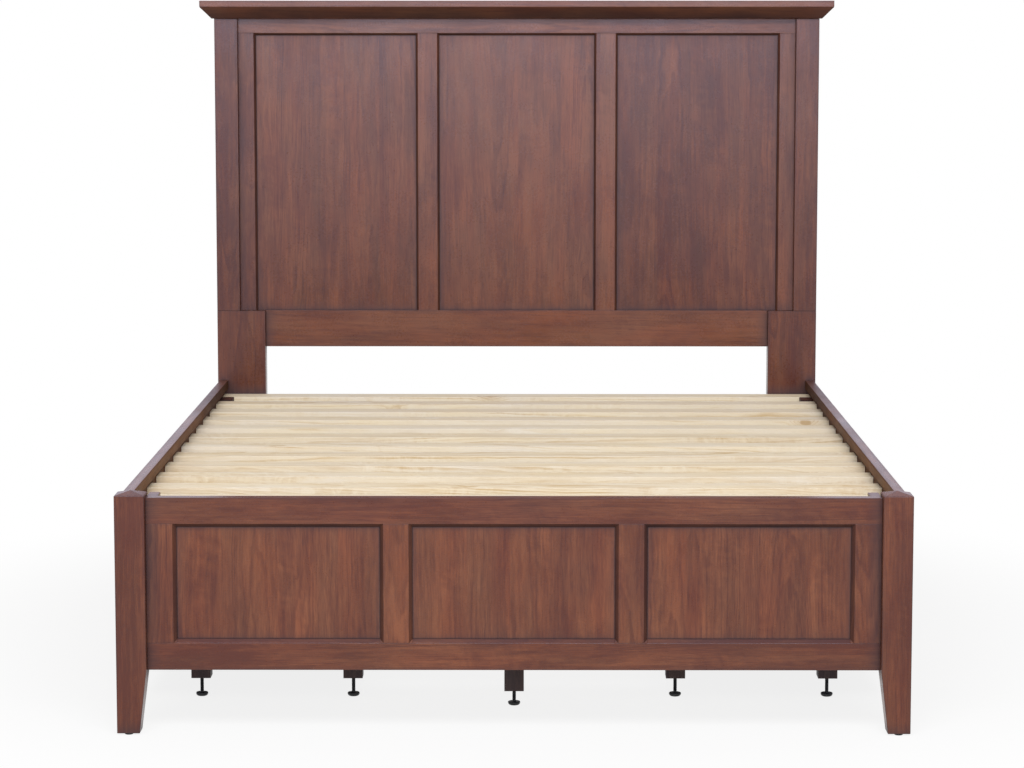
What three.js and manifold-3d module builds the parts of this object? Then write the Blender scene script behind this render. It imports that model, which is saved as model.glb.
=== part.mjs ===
// A platform storage bed: panelled headboard and footboard, side rails with thirteen slats between them,
// a centre beam, and a case of two drawers under each side. Millimetres, +Z up, +X to the right as seen
// from the foot end, +Y from the foot towards the head. The origin is on the floor, in the middle.
import * as THREE from "three";
import { mergeVertices } from "three/addons/utils/BufferGeometryUtils.js";
import Module from "manifold-3d";

const wasm = await Module();
wasm.setup();

// Whole bed
const bedWidth = 1640;
const bedLength = 2168;
const headboardHeight = 1528;
const overrun = 5;
const turnedSegments = 16;
const scoopSegments = 64;
const bowlShares = [0, 1 / 3, 2 / 3, 1];

// Gaps between pieces
const jointClearance = 0.3;
const slidingClearance = 0.3;
const drawerSideClearance = 3;
const drawerFrontMargin = 2;

// Foot posts
const footPostWidth = 62;
const footPostDepth = 62;
const footPostHeight = 500;
const footPostCapRise = 8;
const footPostToeWidth = 47;
const footPostToeDepth = 45;
const footPostTaperTop = 134.5;

// Glides under the foot posts
const glideDiameter = 18.5;
const glideHeight = 3.5;
const glideFlatDiameter = 13;
const glideSetback = 1.5;

// Head legs, and the posts that stand on them
const headLegWidth = 131;
const headLegHeight = 685;
const headLegDepth = 48;
const headPostWidth = 62.5;

// Crown on top of the headboard
const crownHeight = 48;
const crownFaceHeight = 17;
const crownOverhang = 36;
const crownStep = 6.5;

// Panelled frames
const middleOpeningWidth = 433;
const mullionWidth = 52.5;
const panelThickness = 9;
const grooveDepth = 8;
const panelFloat = 1.5;

const headFrameInset = 20;
const headFrameThickness = 24;
const headStileWidth = 42;
const headTopRailHeight = 39;
const headBottomRailHeight = 99.5;
const headBevelWidth = 5.5;
const headBevelDepth = 7;

const footFrameInset = 24;
const footFrameThickness = 27;
const footStileWidth = 54.5;
const footTopRailHeight = 54.5;
const footTopRailDrop = 7;
const footBottomRailHeight = 56.5;
const footBottomRailZ = 132.5;
const footBevelWidth = 7.5;
const footBevelDepth = 8;

const panelStep = 2.5;

// Tenons
const tenonLength = 20;
const tenonThickness = 10;
const tenonShoulder = 8;
const postTenonWidth = 36;
const postTenonDepth = 16;
const postTenonLength = 30;

// Blocks glued in the corners between the footboard and its posts
const cornerBlockWidth = 22;
const cornerBlockDepth = 50;

// Side rails
const railThickness = 23;
const railInset = 5;
const railTopDrop = 6;
const railHeight = 110;
const ledgerThickness = 20;
const ledgerHeight = 25;
const slatGrooveDepth = 9.5;
const slatGrooveHeadroom = 13;
const cleatWidth = 23;
const cleatLength = 50;

// Slats
const slatCount = 13;
const slatWidth = 70;
const slatThickness = 19;
const slatArris = 2.5;
const slatTopDrop = 37;
const firstSlatSetback = 69;
const lastSlatGap = 7;
const slatEndGap = 0.3;

// Centre beam and its legs
const beamWidth = 42;
const beamHeight = 90;
const beamFootSetback = 60;
const beamHeadGap = 8;
const centreLegSetback = 267;
const centreLegBottomZ = 34;

// Square legs and threaded levelling feet
const legSize = 42;
const stemDiameter = 8;
const stemHoleDiameter = 9;
const stemEngagement = 17;
const stemHoleDepth = 41;
const levellerDiameter = 26.5;
const levellerFlatDiameter = 15;
const levellerHeight = 8;
const levellerRimHeight = 2;

// Drawer cases
const caseSetback = 356;
const caseBackX = 331;
const caseBottomZ = 70;
const caseBoard = 18;
const caseBackThickness = 12;
const caseStretcherWidth = 60;
const caseLegBottomZ = 43;
const caseOuterLegX = 684;
const drawerPlaces = ["foot", "head"];

// Drawers
const drawerFrontThickness = 19;
const drawerBoard = 12;
const drawerBottomThickness = 6;
const drawerBottomRaise = 8;
const drawerBackGap = 8;
const drawerHeadroom = 5;
const scoopWidth = 110;
const scoopDepth = 24;

// Places that follow from the sizes
const halfWidth = bedWidth / 2;
const footY = -bedLength / 2;
const headY = bedLength / 2;
const headFaceY = headY - headLegDepth;
const footPostBackY = footY + footPostDepth;
const railTopZ = footPostHeight - railTopDrop;
const slatTopZ = railTopZ - slatTopDrop;
const slatBottomZ = slatTopZ - slatThickness;
const railOuterX = halfWidth - railInset;
const railInnerX = railOuterX - railThickness;
const railBottomZ = railTopZ - railHeight;

// Finishes
const finish = (color, roughness, metalness) =>
  new THREE.MeshStandardMaterial({ color, roughness, metalness });
const finishes = {
  walnutStain: () => finish(0x744c45, 0.45, 0),
  darkStain: () => finish(0x3e2f2d, 0.5, 0),
  paleWood: () => finish(0xe3d1b4, 0.6, 0),
  blackMetal: () => finish(0x232121, 0.4, 0.6),
  blackPlastic: () => finish(0x201e1e, 0.5, 0),
};

// A closed mesh from loose triangles, with shared corners merged, collapsed faces dropped and all turned
// to face out.
function closedGeometry(source) {
  const bare = new THREE.BufferGeometry();
  bare.setAttribute("position", source.getAttribute("position"));
  if (source.index) bare.setIndex(source.index);
  const merged = mergeVertices(bare, 1e-4);
  const corners = merged.index.array;
  const kept = [];
  let volume = 0;
  const [a, b, c] = [new THREE.Vector3(), new THREE.Vector3(), new THREE.Vector3()];
  for (let i = 0; i < corners.length; i += 3) {
    const [p, q, r] = [corners[i], corners[i + 1], corners[i + 2]];
    if (p === q || q === r || r === p) continue;
    a.fromBufferAttribute(merged.attributes.position, p);
    b.fromBufferAttribute(merged.attributes.position, q);
    c.fromBufferAttribute(merged.attributes.position, r);
    volume += a.dot(b.cross(c));
    kept.push(p, q, r);
  }
  if (volume < 0) kept.reverse();
  merged.setIndex(kept);
  return merged;
}

function solidOf(geometry) {
  const closed = closedGeometry(geometry);
  return new wasm.Manifold(
    new wasm.Mesh({
      numProp: 3,
      vertProperties: new Float32Array(closed.attributes.position.array),
      triVerts: new Uint32Array(closed.index.array),
    }),
  );
}

function geometryOf(solid) {
  const made = solid.getMesh();
  const positions = new Float32Array(made.numVert * 3);
  for (let i = 0; i < made.numVert; i++) {
    positions.set(made.vertProperties.subarray(i * made.numProp, i * made.numProp + 3), i * 3);
  }
  const geometry = new THREE.BufferGeometry();
  geometry.setAttribute("position", new THREE.BufferAttribute(positions, 3));
  geometry.setIndex(new THREE.BufferAttribute(new Uint32Array(made.triVerts), 1));
  geometry.computeVertexNormals();
  return geometry;
}

const joined = (first, ...rest) => rest.reduce((whole, piece) => whole.add(piece), first);
const cut = (first, ...cutters) => cutters.reduce((whole, cutter) => whole.subtract(cutter), first);

// A board between two corners, with its faces exactly on the given planes.
function board([x0, x1], [y0, y1], [z0, z1]) {
  const geometry = new THREE.BoxGeometry();
  const position = geometry.getAttribute("position");
  for (let i = 0; i < position.count; i++) {
    position.setXYZ(
      i,
      position.getX(i) > 0 ? x1 : x0,
      position.getY(i) > 0 ? y1 : y0,
      position.getZ(i) > 0 ? z1 : z0,
    );
  }
  return solidOf(geometry);
}

// The same span on the left or right side of the bed, lowest number first.
const sideSpan = (side, a, b) => (side * a < side * b ? [side * a, side * b] : [side * b, side * a]);

// A solid through rings of corners. Every ring has as many corners, and the end rings are flat across
// the two axes named, so that their caps can be cut into triangles.
function loft(rings, [u, v]) {
  const count = rings[0].length;
  const faces = [];
  for (let ring = 0; ring + 1 < rings.length; ring++) {
    for (let i = 0; i < count; i++) {
      const [a, b] = [ring * count + i, ring * count + ((i + 1) % count)];
      faces.push(a, b, b + count, a, b + count, a + count);
    }
  }
  const outline = rings[0].map((corner) => new THREE.Vector2(corner[u], corner[v]));
  const wayRound = Math.sign(THREE.ShapeUtils.area(outline));
  const last = (rings.length - 1) * count;
  for (const cap of THREE.ShapeUtils.triangulateShape(outline, [])) {
    const follows = Math.sign(THREE.ShapeUtils.area(cap.map((i) => outline[i]))) === wayRound;
    const [a, b, c] = follows ? cap : [cap[0], cap[2], cap[1]];
    faces.push(a, c, b, last + a, last + b, last + c);
  }
  const geometry = new THREE.BufferGeometry();
  geometry.setAttribute("position", new THREE.Float32BufferAttribute(rings.flat(2), 3));
  geometry.setIndex(faces);
  return solidOf(geometry);
}

// A bar of one section along Y, its section given as x, z corners.
function barAlongY(section, [y0, y1]) {
  return loft([y0, y1].map((y) => section.map(([x, z]) => [x, y, z])), [0, 2]);
}

// A bar of one section along X, its section given as y, z corners.
function barAlongX(section, [x0, x1]) {
  return loft([x0, x1].map((x) => section.map(([y, z]) => [x, y, z])), [1, 2]);
}

const rectangleAtZ = ([x0, x1], [y0, y1], z) => [[x0, y0, z], [x1, y0, z], [x1, y1, z], [x0, y1, z]];
const rectangleAtY = ([x0, x1], y, [z0, z1]) => [[x0, y, z0], [x1, y, z0], [x1, y, z1], [x0, y, z1]];

// A turned piece about a vertical axis. The profile is a list of radius, height points.
function turned(profile) {
  const points = profile.map(([radius, height]) => new THREE.Vector2(radius, height));
  return solidOf(new THREE.LatheGeometry(points, turnedSegments).rotateX(Math.PI / 2));
}

const bed = new THREE.Group();

function addPiece(group, name, solid, material, place = [0, 0, 0]) {
  const mesh = new THREE.Mesh(geometryOf(solid), material());
  mesh.name = name;
  mesh.position.set(...place);
  group.add(mesh);
  return mesh;
}

// The three openings of a panelled frame, left to right, between the flat faces of its members.
function openingsOf(frame) {
  const outer = frame.halfWidth - frame.stileWidth;
  const inner = middleOpeningWidth / 2 + mullionWidth;
  const middle = middleOpeningWidth / 2;
  return [[-outer, -inner], [-middle, middle], [inner, outer]];
}

// A panelled frame: rails along it, stiles and mullions between the rails, and three floating panels.
// Each opening has a bevelled edge that ends just in front of its panel, which sits in a groove.
function panelledFrame(frame) {
  const { faceY, thickness, bottomZ, topZ, bevelWidth, bottomBevelWidth, bevelDepth } = frame;
  const depth = [faceY, faceY + thickness];
  const flat = [bottomZ, topZ];
  const sight = [bottomZ + bottomBevelWidth, topZ - bevelWidth];
  const panelFaceY = faceY + bevelDepth + panelStep;
  const panelDepth = [panelFaceY, panelFaceY + panelThickness];
  const grooveY = [panelDepth[0] - jointClearance, panelDepth[1] + jointClearance];
  const openings = openingsOf(frame);
  const clear = openings.map(([x0, x1]) => [x0 + bevelWidth, x1 - bevelWidth]);
  const grown = ([low, high], by) => [low - by, high + by];

  const cutters = openings.map((opening, i) =>
    joined(
      loft(
        [
          rectangleAtY(opening, faceY - overrun, flat),
          rectangleAtY(opening, faceY, flat),
          rectangleAtY(clear[i], faceY + bevelDepth, sight),
        ],
        [0, 2],
      ),
      board(grown(clear[i], grooveDepth), grooveY, grown(sight, grooveDepth)),
    ),
  );
  const panels = clear.map((span) => {
    const edge = grooveDepth - panelFloat;
    return board(grown(span, edge), panelDepth, grown(sight, edge));
  });
  const lips = (z) => clear.map((span) => board(span, depth, z));
  const upright = (span) => cut(board(span, depth, flat), ...cutters);
  return {
    cutters,
    panels,
    topRail: (span, z1) => cut(joined(board(span, depth, [topZ, z1]), ...lips([sight[1], topZ])), ...cutters),
    bottomRail: (span, z0) => {
      const rail = board(span, depth, [z0, bottomZ]);
      const lipped = bottomBevelWidth > 0 ? joined(rail, ...lips([bottomZ, sight[0]])) : rail;
      return cut(lipped, ...cutters);
    },
    stiles: [
      upright([-frame.halfWidth, clear[0][0]]),
      upright([clear[2][1], frame.halfWidth]),
    ],
    mullions: [upright([clear[0][1], clear[1][0]]), upright([clear[1][1], clear[2][0]])],
  };
}

// A rail's tenons run past its ends by tenonLength. The mortise for one is a little larger all round.
function tenonSpans(frame, side, endX, [z0, z1], clearance) {
  const middle = frame.faceY + frame.thickness / 2;
  const half = tenonThickness / 2 + clearance;
  return [
    sideSpan(side, endX, endX + tenonLength + clearance),
    [middle - half, middle + half],
    [z0 + tenonShoulder - clearance, z1 - tenonShoulder + clearance],
  ];
}

const tenons = (frame, endX, z) => [-1, 1].map((side) => board(...tenonSpans(frame, side, endX, z, 0)));
const mortise = (frame, side, endX, z) => board(...tenonSpans(frame, side, endX, z, jointClearance));

const sideNames = [[-1, "left"], [1, "right"]];
const panelNames = ["left", "centre", "right"];

function addFrame(group, prefix, made) {
  sideNames.forEach(([, side], i) => {
    addPiece(group, `${prefix}_stile_${side}`, made.stiles[i], finishes.walnutStain);
    addPiece(group, `${prefix}_mullion_${side}`, made.mullions[i], finishes.walnutStain);
  });
  panelNames.forEach((place, i) => {
    addPiece(group, `${prefix}_panel_${place}`, made.panels[i], finishes.walnutStain);
  });
}

// Footboard
function footboard() {
  const group = new THREE.Group();
  const topRailZ = [footPostHeight - footTopRailDrop - footTopRailHeight, footPostHeight - footTopRailDrop];
  const bottomRailZ = [footBottomRailZ, footBottomRailZ + footBottomRailHeight];
  const frame = {
    halfWidth: halfWidth - footPostWidth,
    faceY: footY + footFrameInset,
    thickness: footFrameThickness,
    stileWidth: footStileWidth,
    bottomZ: bottomRailZ[1],
    topZ: topRailZ[0],
    bevelWidth: footBevelWidth,
    bottomBevelWidth: footBevelWidth,
    bevelDepth: footBevelDepth,
  };
  const made = panelledFrame(frame);
  const innerX = frame.halfWidth;
  const span = [-innerX, innerX];
  const backY = frame.faceY + frame.thickness;

  const blockZ = [slatTopZ + jointClearance, topRailZ[1]];
  const blocks = sideNames.map(([side]) =>
    board(sideSpan(side, innerX - cornerBlockWidth, innerX), [backY, backY + cornerBlockDepth], blockZ),
  );
  const topRail = joined(made.topRail(span, topRailZ[1]), ...tenons(frame, innerX, topRailZ), ...blocks);
  const bottomRail = joined(made.bottomRail(span, bottomRailZ[0]), ...tenons(frame, innerX, bottomRailZ));
  addPiece(group, "footboard_top_rail", topRail, finishes.walnutStain);
  addPiece(group, "footboard_bottom_rail", bottomRail, finishes.walnutStain);
  addFrame(group, "footboard", made);

  for (const [side, name] of sideNames) {
    const wide = sideSpan(side, innerX, halfWidth);
    const deep = [footY, footPostBackY];
    const toe = [sideSpan(side, halfWidth - footPostToeWidth, halfWidth), [footY, footY + footPostToeDepth]];
    const apex = [(wide[0] + wide[1]) / 2, (deep[0] + deep[1]) / 2, footPostHeight + footPostCapRise];
    const rings = [
      rectangleAtZ(...toe, glideHeight),
      rectangleAtZ(wide, deep, footPostTaperTop),
      rectangleAtZ(wide, deep, footPostHeight),
      [apex, apex, apex, apex],
    ];
    const mortises = [topRailZ, bottomRailZ].map((z) => mortise(frame, side, innerX, z));
    addPiece(group, `footboard_post_${name}`, cut(loft(rings, [0, 1]), ...mortises), finishes.walnutStain);

    const glide = turned([
      [0, 0],
      [glideFlatDiameter / 2, 0],
      [glideDiameter / 2, glideHeight],
      [0, glideHeight],
    ]);
    const place = [side * (halfWidth - footPostToeWidth / 2), footY + glideSetback + glideDiameter / 2, 0];
    addPiece(group, `foot_glide_${name}`, glide, finishes.blackPlastic, place);
  }
  return group;
}

// Headboard
function headboard() {
  const group = new THREE.Group();
  const crownBottomZ = headboardHeight - crownHeight;
  const frame = {
    halfWidth: halfWidth - headPostWidth,
    faceY: headFaceY + headFrameInset,
    thickness: headFrameThickness,
    stileWidth: headStileWidth,
    bottomZ: headLegHeight,
    topZ: crownBottomZ - headTopRailHeight,
    bevelWidth: headBevelWidth,
    bottomBevelWidth: 0,
    bevelDepth: headBevelDepth,
  };
  const made = panelledFrame(frame);
  const postInnerX = frame.halfWidth;
  const legInnerX = halfWidth - headLegWidth;
  const topRailZ = [frame.topZ, crownBottomZ];
  const bottomRailZ = [headLegHeight - headBottomRailHeight, headLegHeight];
  const topRail = joined(
    made.topRail([-postInnerX, postInnerX], crownBottomZ),
    ...tenons(frame, postInnerX, topRailZ),
  );
  const bottomRail = joined(
    made.bottomRail([-legInnerX, legInnerX], bottomRailZ[0]),
    ...tenons(frame, legInnerX, bottomRailZ),
  );
  addPiece(group, "headboard_top_rail", topRail, finishes.walnutStain);
  addPiece(group, "headboard_bottom_rail", bottomRail, finishes.walnutStain);
  addFrame(group, "headboard", made);

  const deep = [headFaceY, headY];
  const tenonSpan = (side, clearance) => {
    const middleX = halfWidth - headPostWidth / 2;
    const middleY = (headFaceY + headY) / 2;
    const halfX = postTenonWidth / 2 + clearance;
    const halfY = postTenonDepth / 2 + clearance;
    return [
      sideSpan(side, middleX - halfX, middleX + halfX),
      [middleY - halfY, middleY + halfY],
      [headLegHeight - postTenonLength - clearance, headLegHeight],
    ];
  };
  for (const [side, name] of sideNames) {
    const leg = cut(
      board(sideSpan(side, legInnerX, halfWidth), deep, [0, headLegHeight]),
      ...made.cutters,
      mortise(frame, side, legInnerX, bottomRailZ),
      board(...tenonSpan(side, jointClearance)),
    );
    const post = cut(
      joined(
        board(sideSpan(side, postInnerX, halfWidth), deep, [headLegHeight, crownBottomZ]),
        board(...tenonSpan(side, 0)),
      ),
      mortise(frame, side, postInnerX, topRailZ),
    );
    addPiece(group, `headboard_leg_${name}`, leg, finishes.walnutStain);
    addPiece(group, `headboard_post_${name}`, post, finishes.walnutStain);
  }

  const crownRing = (overhang, z) => {
    const reach = halfWidth + overhang;
    return rectangleAtZ([-reach, reach], [headFaceY - overhang, headY], z);
  };
  const crown = loft(
    [
      crownRing(crownStep, crownBottomZ),
      crownRing(crownOverhang, headboardHeight - crownFaceHeight),
      crownRing(crownOverhang, headboardHeight),
    ],
    [0, 1],
  );
  addPiece(group, "headboard_crown", crown, finishes.walnutStain);
  return group;
}

// Slats, spread evenly between the first one behind the footboard and the last one at the headboard.
const firstSlatY = footY + firstSlatSetback;
const lastSlatY = headFaceY - lastSlatGap - slatWidth;
const slatFrontY = (index) => firstSlatY + ((lastSlatY - firstSlatY) * index) / (slatCount - 1);
const slatEndX = railInnerX + slatGrooveDepth - slatEndGap;

function slats() {
  const group = new THREE.Group();
  const across = [0, slatWidth];
  const up = [0, slatThickness];
  const section = [
    [across[0] + slatArris, up[0]],
    [across[1] - slatArris, up[0]],
    [across[1], up[0] + slatArris],
    [across[1], up[1] - slatArris],
    [across[1] - slatArris, up[1]],
    [across[0] + slatArris, up[1]],
    [across[0], up[1] - slatArris],
    [across[0], up[0] + slatArris],
  ];
  const slat = barAlongX(section, [-slatEndX, slatEndX]);
  for (let i = 0; i < slatCount; i++) {
    const number = String(i + 1).padStart(2, "0");
    addPiece(group, `slat_${number}`, slat, finishes.paleWood, [0, slatFrontY(i), slatBottomZ]);
  }
  return group;
}

// Side rails. Each has a groove for the slat ends, a ledger glued on under it, and a cleat in the last
// gap between slats that keeps the head slat in place.
function sideRails() {
  const group = new THREE.Group();
  const grooveX = railInnerX + slatGrooveDepth;
  const ledgerX = railInnerX - ledgerThickness;
  const ledgerBottomZ = slatBottomZ - ledgerHeight;
  const section = [
    [railOuterX, railBottomZ],
    [railOuterX, railTopZ],
    [railInnerX, railTopZ],
    [railInnerX, slatTopZ + slatGrooveHeadroom],
    [grooveX, slatTopZ + slatGrooveHeadroom],
    [grooveX, slatBottomZ],
    [ledgerX, slatBottomZ],
    [ledgerX, ledgerBottomZ],
    [railInnerX, ledgerBottomZ],
    [railInnerX, railBottomZ],
  ];
  const cleatHeadY = slatFrontY(slatCount - 1) - jointClearance;
  for (const [side, name] of sideNames) {
    const rail = barAlongY(section.map(([x, z]) => [side * x, z]), [footPostBackY, headFaceY]);
    const cleat = board(
      sideSpan(side, railInnerX - cleatWidth, grooveX),
      [cleatHeadY - cleatLength, cleatHeadY],
      [ledgerBottomZ, slatTopZ],
    );
    addPiece(group, `side_rail_${name}`, joined(rail, cleat), finishes.walnutStain);
  }
  return group;
}

// A blind hole for a levelling foot's stem, up from the bottom of a leg.
const stemHole = (x, y, z) =>
  turned([
    [0, -overrun],
    [stemHoleDiameter / 2, -overrun],
    [stemHoleDiameter / 2, stemHoleDepth],
    [0, stemHoleDepth],
  ]).translate([x, y, z]);

// A levelling foot: a round foot with a flat top and a bowl-shaped underside, on a stem that reaches
// up into its leg.
function addLeveller(group, name, x, y, legBottomZ) {
  const radius = levellerDiameter / 2;
  const flatRadius = levellerFlatDiameter / 2;
  const rimZ = levellerHeight - levellerRimHeight;
  const bowl = bowlShares.map((share) => {
    const angle = (share * Math.PI) / 2;
    return [flatRadius + (radius - flatRadius) * Math.sin(angle), rimZ * (1 - Math.cos(angle))];
  });
  const stemTop = legBottomZ + stemEngagement;
  const profile = [
    [0, 0],
    ...bowl,
    [radius - levellerRimHeight / 2, levellerHeight],
    [stemDiameter / 2, levellerHeight],
    [stemDiameter / 2, stemTop],
    [0, stemTop],
  ];
  addPiece(group, name, turned(profile), finishes.blackMetal, [x, y, 0]);
}

// Centre beam under the slats, on square legs with levelling feet.
function centreBeam() {
  const group = new THREE.Group();
  const half = beamWidth / 2;
  const span = [footY + beamFootSetback, headFaceY - beamHeadGap];
  const beam = board([-half, half], span, [slatBottomZ - beamHeight, slatBottomZ]);
  const firstY = footY + centreLegSetback + legSize / 2;
  const lastY = headFaceY - centreLegSetback - legSize / 2;
  const legHalf = legSize / 2;
  const places = [
    ["foot", firstY],
    ["middle", (firstY + lastY) / 2],
    ["head", lastY],
  ];
  const legs = places.map(([, y]) =>
    board([-legHalf, legHalf], [y - legHalf, y + legHalf], [centreLegBottomZ, slatBottomZ - overrun]),
  );
  const holes = places.map(([, y]) => stemHole(0, y, centreLegBottomZ));
  addPiece(group, "centre_beam", cut(joined(beam, ...legs), ...holes), finishes.darkStain);
  for (const [place, y] of places) {
    addLeveller(group, `leveller_centre_${place}`, 0, y, centreLegBottomZ);
  }
  return group;
}

// Drawer cases. Each stands on four legs under one side rail and holds its drawers side by side.
const caseY = [footY + caseSetback, headFaceY - caseSetback];
const caseTopZ = railBottomZ;
const caseFloorZ = caseBottomZ + caseBoard;
const bayLength = (caseY[1] - caseY[0] - caseBoard) / drawerPlaces.length - caseBoard;
const bayY = (index) => {
  const start = caseY[0] + caseBoard + index * (bayLength + caseBoard);
  return [start, start + bayLength];
};

function drawerCase(side, name) {
  const group = new THREE.Group();
  const wide = (a, b) => sideSpan(side, a, b);
  const full = wide(caseBackX, railOuterX);
  const floor = board(full, caseY, [caseBottomZ, caseFloorZ]);
  const back = board(wide(caseBackX, caseBackX + caseBackThickness), caseY, [caseBottomZ, caseTopZ]);
  const uprights = [];
  for (let i = 0; i <= drawerPlaces.length; i++) {
    const start = caseY[0] + i * (bayLength + caseBoard);
    uprights.push(board(full, [start, start + caseBoard], [caseBottomZ, caseTopZ]));
  }
  const stretcherZ = [caseTopZ - caseBoard, caseTopZ];
  const stretchers = [
    board(wide(railOuterX - caseStretcherWidth, railOuterX), caseY, stretcherZ),
    board(wide(caseBackX, caseBackX + caseStretcherWidth), caseY, stretcherZ),
  ];
  const legHalf = legSize / 2;
  const legPlaces = [];
  for (const [row, y] of [["foot", caseY[0] + legHalf], ["head", caseY[1] - legHalf]]) {
    legPlaces.push([`${row}_inner`, side * (caseBackX + legHalf), y]);
    legPlaces.push([`${row}_outer`, side * caseOuterLegX, y]);
  }
  const legs = legPlaces.map(([, x, y]) =>
    board([x - legHalf, x + legHalf], [y - legHalf, y + legHalf], [caseLegBottomZ, caseFloorZ]),
  );
  const holes = legPlaces.map(([, x, y]) => stemHole(x, y, caseLegBottomZ));
  const carcass = cut(joined(floor, back, ...uprights, ...stretchers, ...legs), ...holes);
  addPiece(group, `drawer_case_${name}`, carcass, finishes.darkStain);
  for (const [place, x, y] of legPlaces) {
    addLeveller(group, `leveller_${name}_${place}`, x, y, caseLegBottomZ);
  }
  return group;
}

// Drawers. The front is flush with the rail above, with a scoop in its top edge to pull it by.
function drawer(side, index) {
  const wide = (a, b) => sideSpan(side, a, b);
  const [bay0, bay1] = bayY(index);
  const frontX = railOuterX - drawerFrontThickness;
  const backX = caseBackX + caseBackThickness + drawerBackGap;
  const boxY = [bay0 + drawerSideClearance, bay1 - drawerSideClearance];
  const frontY = [bay0 + drawerFrontMargin, bay1 - drawerFrontMargin];
  const bottomZ = caseFloorZ + slidingClearance;
  const boxTopZ = caseTopZ - caseBoard - drawerHeadroom;
  const frontTopZ = caseTopZ - caseBoard - drawerFrontMargin;
  const boxZ = [bottomZ, boxTopZ];
  const panelZ = [bottomZ + drawerBottomRaise, bottomZ + drawerBottomRaise + drawerBottomThickness];
  const front = board(wide(frontX, railOuterX), frontY, [bottomZ, frontTopZ]);
  const sides = [
    board(wide(backX, frontX + overrun), [boxY[0], boxY[0] + drawerBoard], boxZ),
    board(wide(backX, frontX + overrun), [boxY[1] - drawerBoard, boxY[1]], boxZ),
  ];
  const back = board(wide(backX, backX + drawerBoard), boxY, boxZ);
  const bottom = board(wide(backX, frontX + overrun), boxY, panelZ);
  const scoopRadius = (scoopWidth ** 2 / 4 + scoopDepth ** 2) / (2 * scoopDepth);
  const scoopY = (bay0 + bay1) / 2;
  const scoopZ = frontTopZ - scoopDepth + scoopRadius;
  const length = drawerFrontThickness + 2 * overrun;
  const scoop = solidOf(
    new THREE.CylinderGeometry(scoopRadius, scoopRadius, length, scoopSegments)
      .rotateZ(Math.PI / 2)
      .translate(side * (railOuterX - drawerFrontThickness / 2), scoopY, scoopZ),
  );
  return cut(joined(front, ...sides, back, bottom), scoop);
}

function drawerUnits() {
  const group = new THREE.Group();
  for (const [side, name] of sideNames) {
    group.add(drawerCase(side, name));
    drawerPlaces.forEach((place, i) => {
      addPiece(group, `drawer_${name}_${place}`, drawer(side, i), finishes.walnutStain);
    });
  }
  return group;
}

bed.add(footboard(), headboard(), sideRails(), slats(), centreBeam(), drawerUnits());

export default bed;
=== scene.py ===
"""Looks of a panelled platform bed with storage drawers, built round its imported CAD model.

The headboard, the footboard, the side rails, the beam and the drawer cases are carried over with eased
edges and each board's own grain. The slats, drawers, glides and levelling feet are built anew in finer
detail. All of it rides on the CAD bodies. Metres, +Z up, +X to the right as seen from the foot end,
+Y from the foot towards the head.
"""

import functools
import logging
import math
import random
from dataclasses import dataclass, field, replace
from enum import Enum
from itertools import pairwise, product
from typing import Callable, Iterable, Mapping

import bmesh
import bpy
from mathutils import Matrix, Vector


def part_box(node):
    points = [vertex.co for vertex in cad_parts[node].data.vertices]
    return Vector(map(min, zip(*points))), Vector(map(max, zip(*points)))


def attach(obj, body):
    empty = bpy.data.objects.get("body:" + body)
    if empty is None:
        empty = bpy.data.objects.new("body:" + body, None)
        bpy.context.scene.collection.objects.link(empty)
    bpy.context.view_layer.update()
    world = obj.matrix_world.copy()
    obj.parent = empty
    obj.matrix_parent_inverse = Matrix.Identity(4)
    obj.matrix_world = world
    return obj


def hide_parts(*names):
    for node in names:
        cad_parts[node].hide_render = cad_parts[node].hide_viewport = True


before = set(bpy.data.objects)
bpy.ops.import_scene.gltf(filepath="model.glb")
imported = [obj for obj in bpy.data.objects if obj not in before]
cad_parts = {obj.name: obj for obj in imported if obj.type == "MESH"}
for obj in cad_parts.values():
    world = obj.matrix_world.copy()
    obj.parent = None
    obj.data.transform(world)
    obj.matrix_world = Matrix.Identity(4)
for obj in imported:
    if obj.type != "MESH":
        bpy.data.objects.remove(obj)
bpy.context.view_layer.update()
log = logging.getLogger("bed")

MM = 0.001
WELD = 0.002 * MM
ROOT_BODY = "bed_frame"

# How much glaze and painted shade a moulding's faces hold, by the way they lie: most where they turn down,
# least where they turn up
OVERHANG_GLAZE_AND_SHADE = 0.93
SLOPE_GLAZE_AND_SHADE = 0.9
LEDGE_GLAZE_AND_SHADE = 0.45
# The cleat at the head is darkened with painted shade
CLEAT_SHADE = 0.8
# A glazed face's front takes this share; painted shade deepens it to the whole towards the back of the recess
SHALLOW_SHARE = 0.65
STEP_LIMIT = 3.4 * MM
SLOPE_COSINE = 0.93
LEDGE_COSINE = 0.3
FACING_COSINE = 0.5

# How far painted shade reaches into corners and darkening along rims, and how shut in each is when darkest
CORNER_REACH = 34.0 * MM
CORNER_SHUT = 0.48
RIM_REACH = 9.0 * MM
RIM_SHUT = 0.4
OCCLUSION_SAMPLES = 8

# Knots: their cells per metre along and across the grain, their sizes in cells, and what they push aside
KNOT_CELLS = (4.5, 9.5)
KNOT_SIZES = (0.04, 0.09)
KNOT_PUSH = 16.0 * MM

# What the finest wander of the rings amounts to, and where the hue is read apart from the figure
RING_FRET = 8.0 * MM
ELSEWHERE = (3.7, 1.9, 5.3)

FLAT_ANGLE = math.radians(0.4)
SHARP_ANGLE = math.radians(37.0)
QUARTER = math.pi / 2

Colour = Place = tuple[float, float, float]
Span = Pair = tuple[float, float]
Spans = tuple[Span, Span, Span]
Socket, Tree = bpy.types.NodeSocket, bpy.types.NodeTree
Solid, Face, Vert = bmesh.types.BMesh, bmesh.types.BMFace, bmesh.types.BMVert
Sockets = Mapping[str, Socket]
FaceShare = Callable[[Face], float]
CornerShare = Callable[[Face, Vert], float]


class Slot(Enum):
    """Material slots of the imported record."""

    WALNUT = "walnut_stain"
    DARK = "dark_stain"
    PALE = "pale_wood"
    METAL = "black_metal"
    PLASTIC = "black_plastic"


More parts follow.
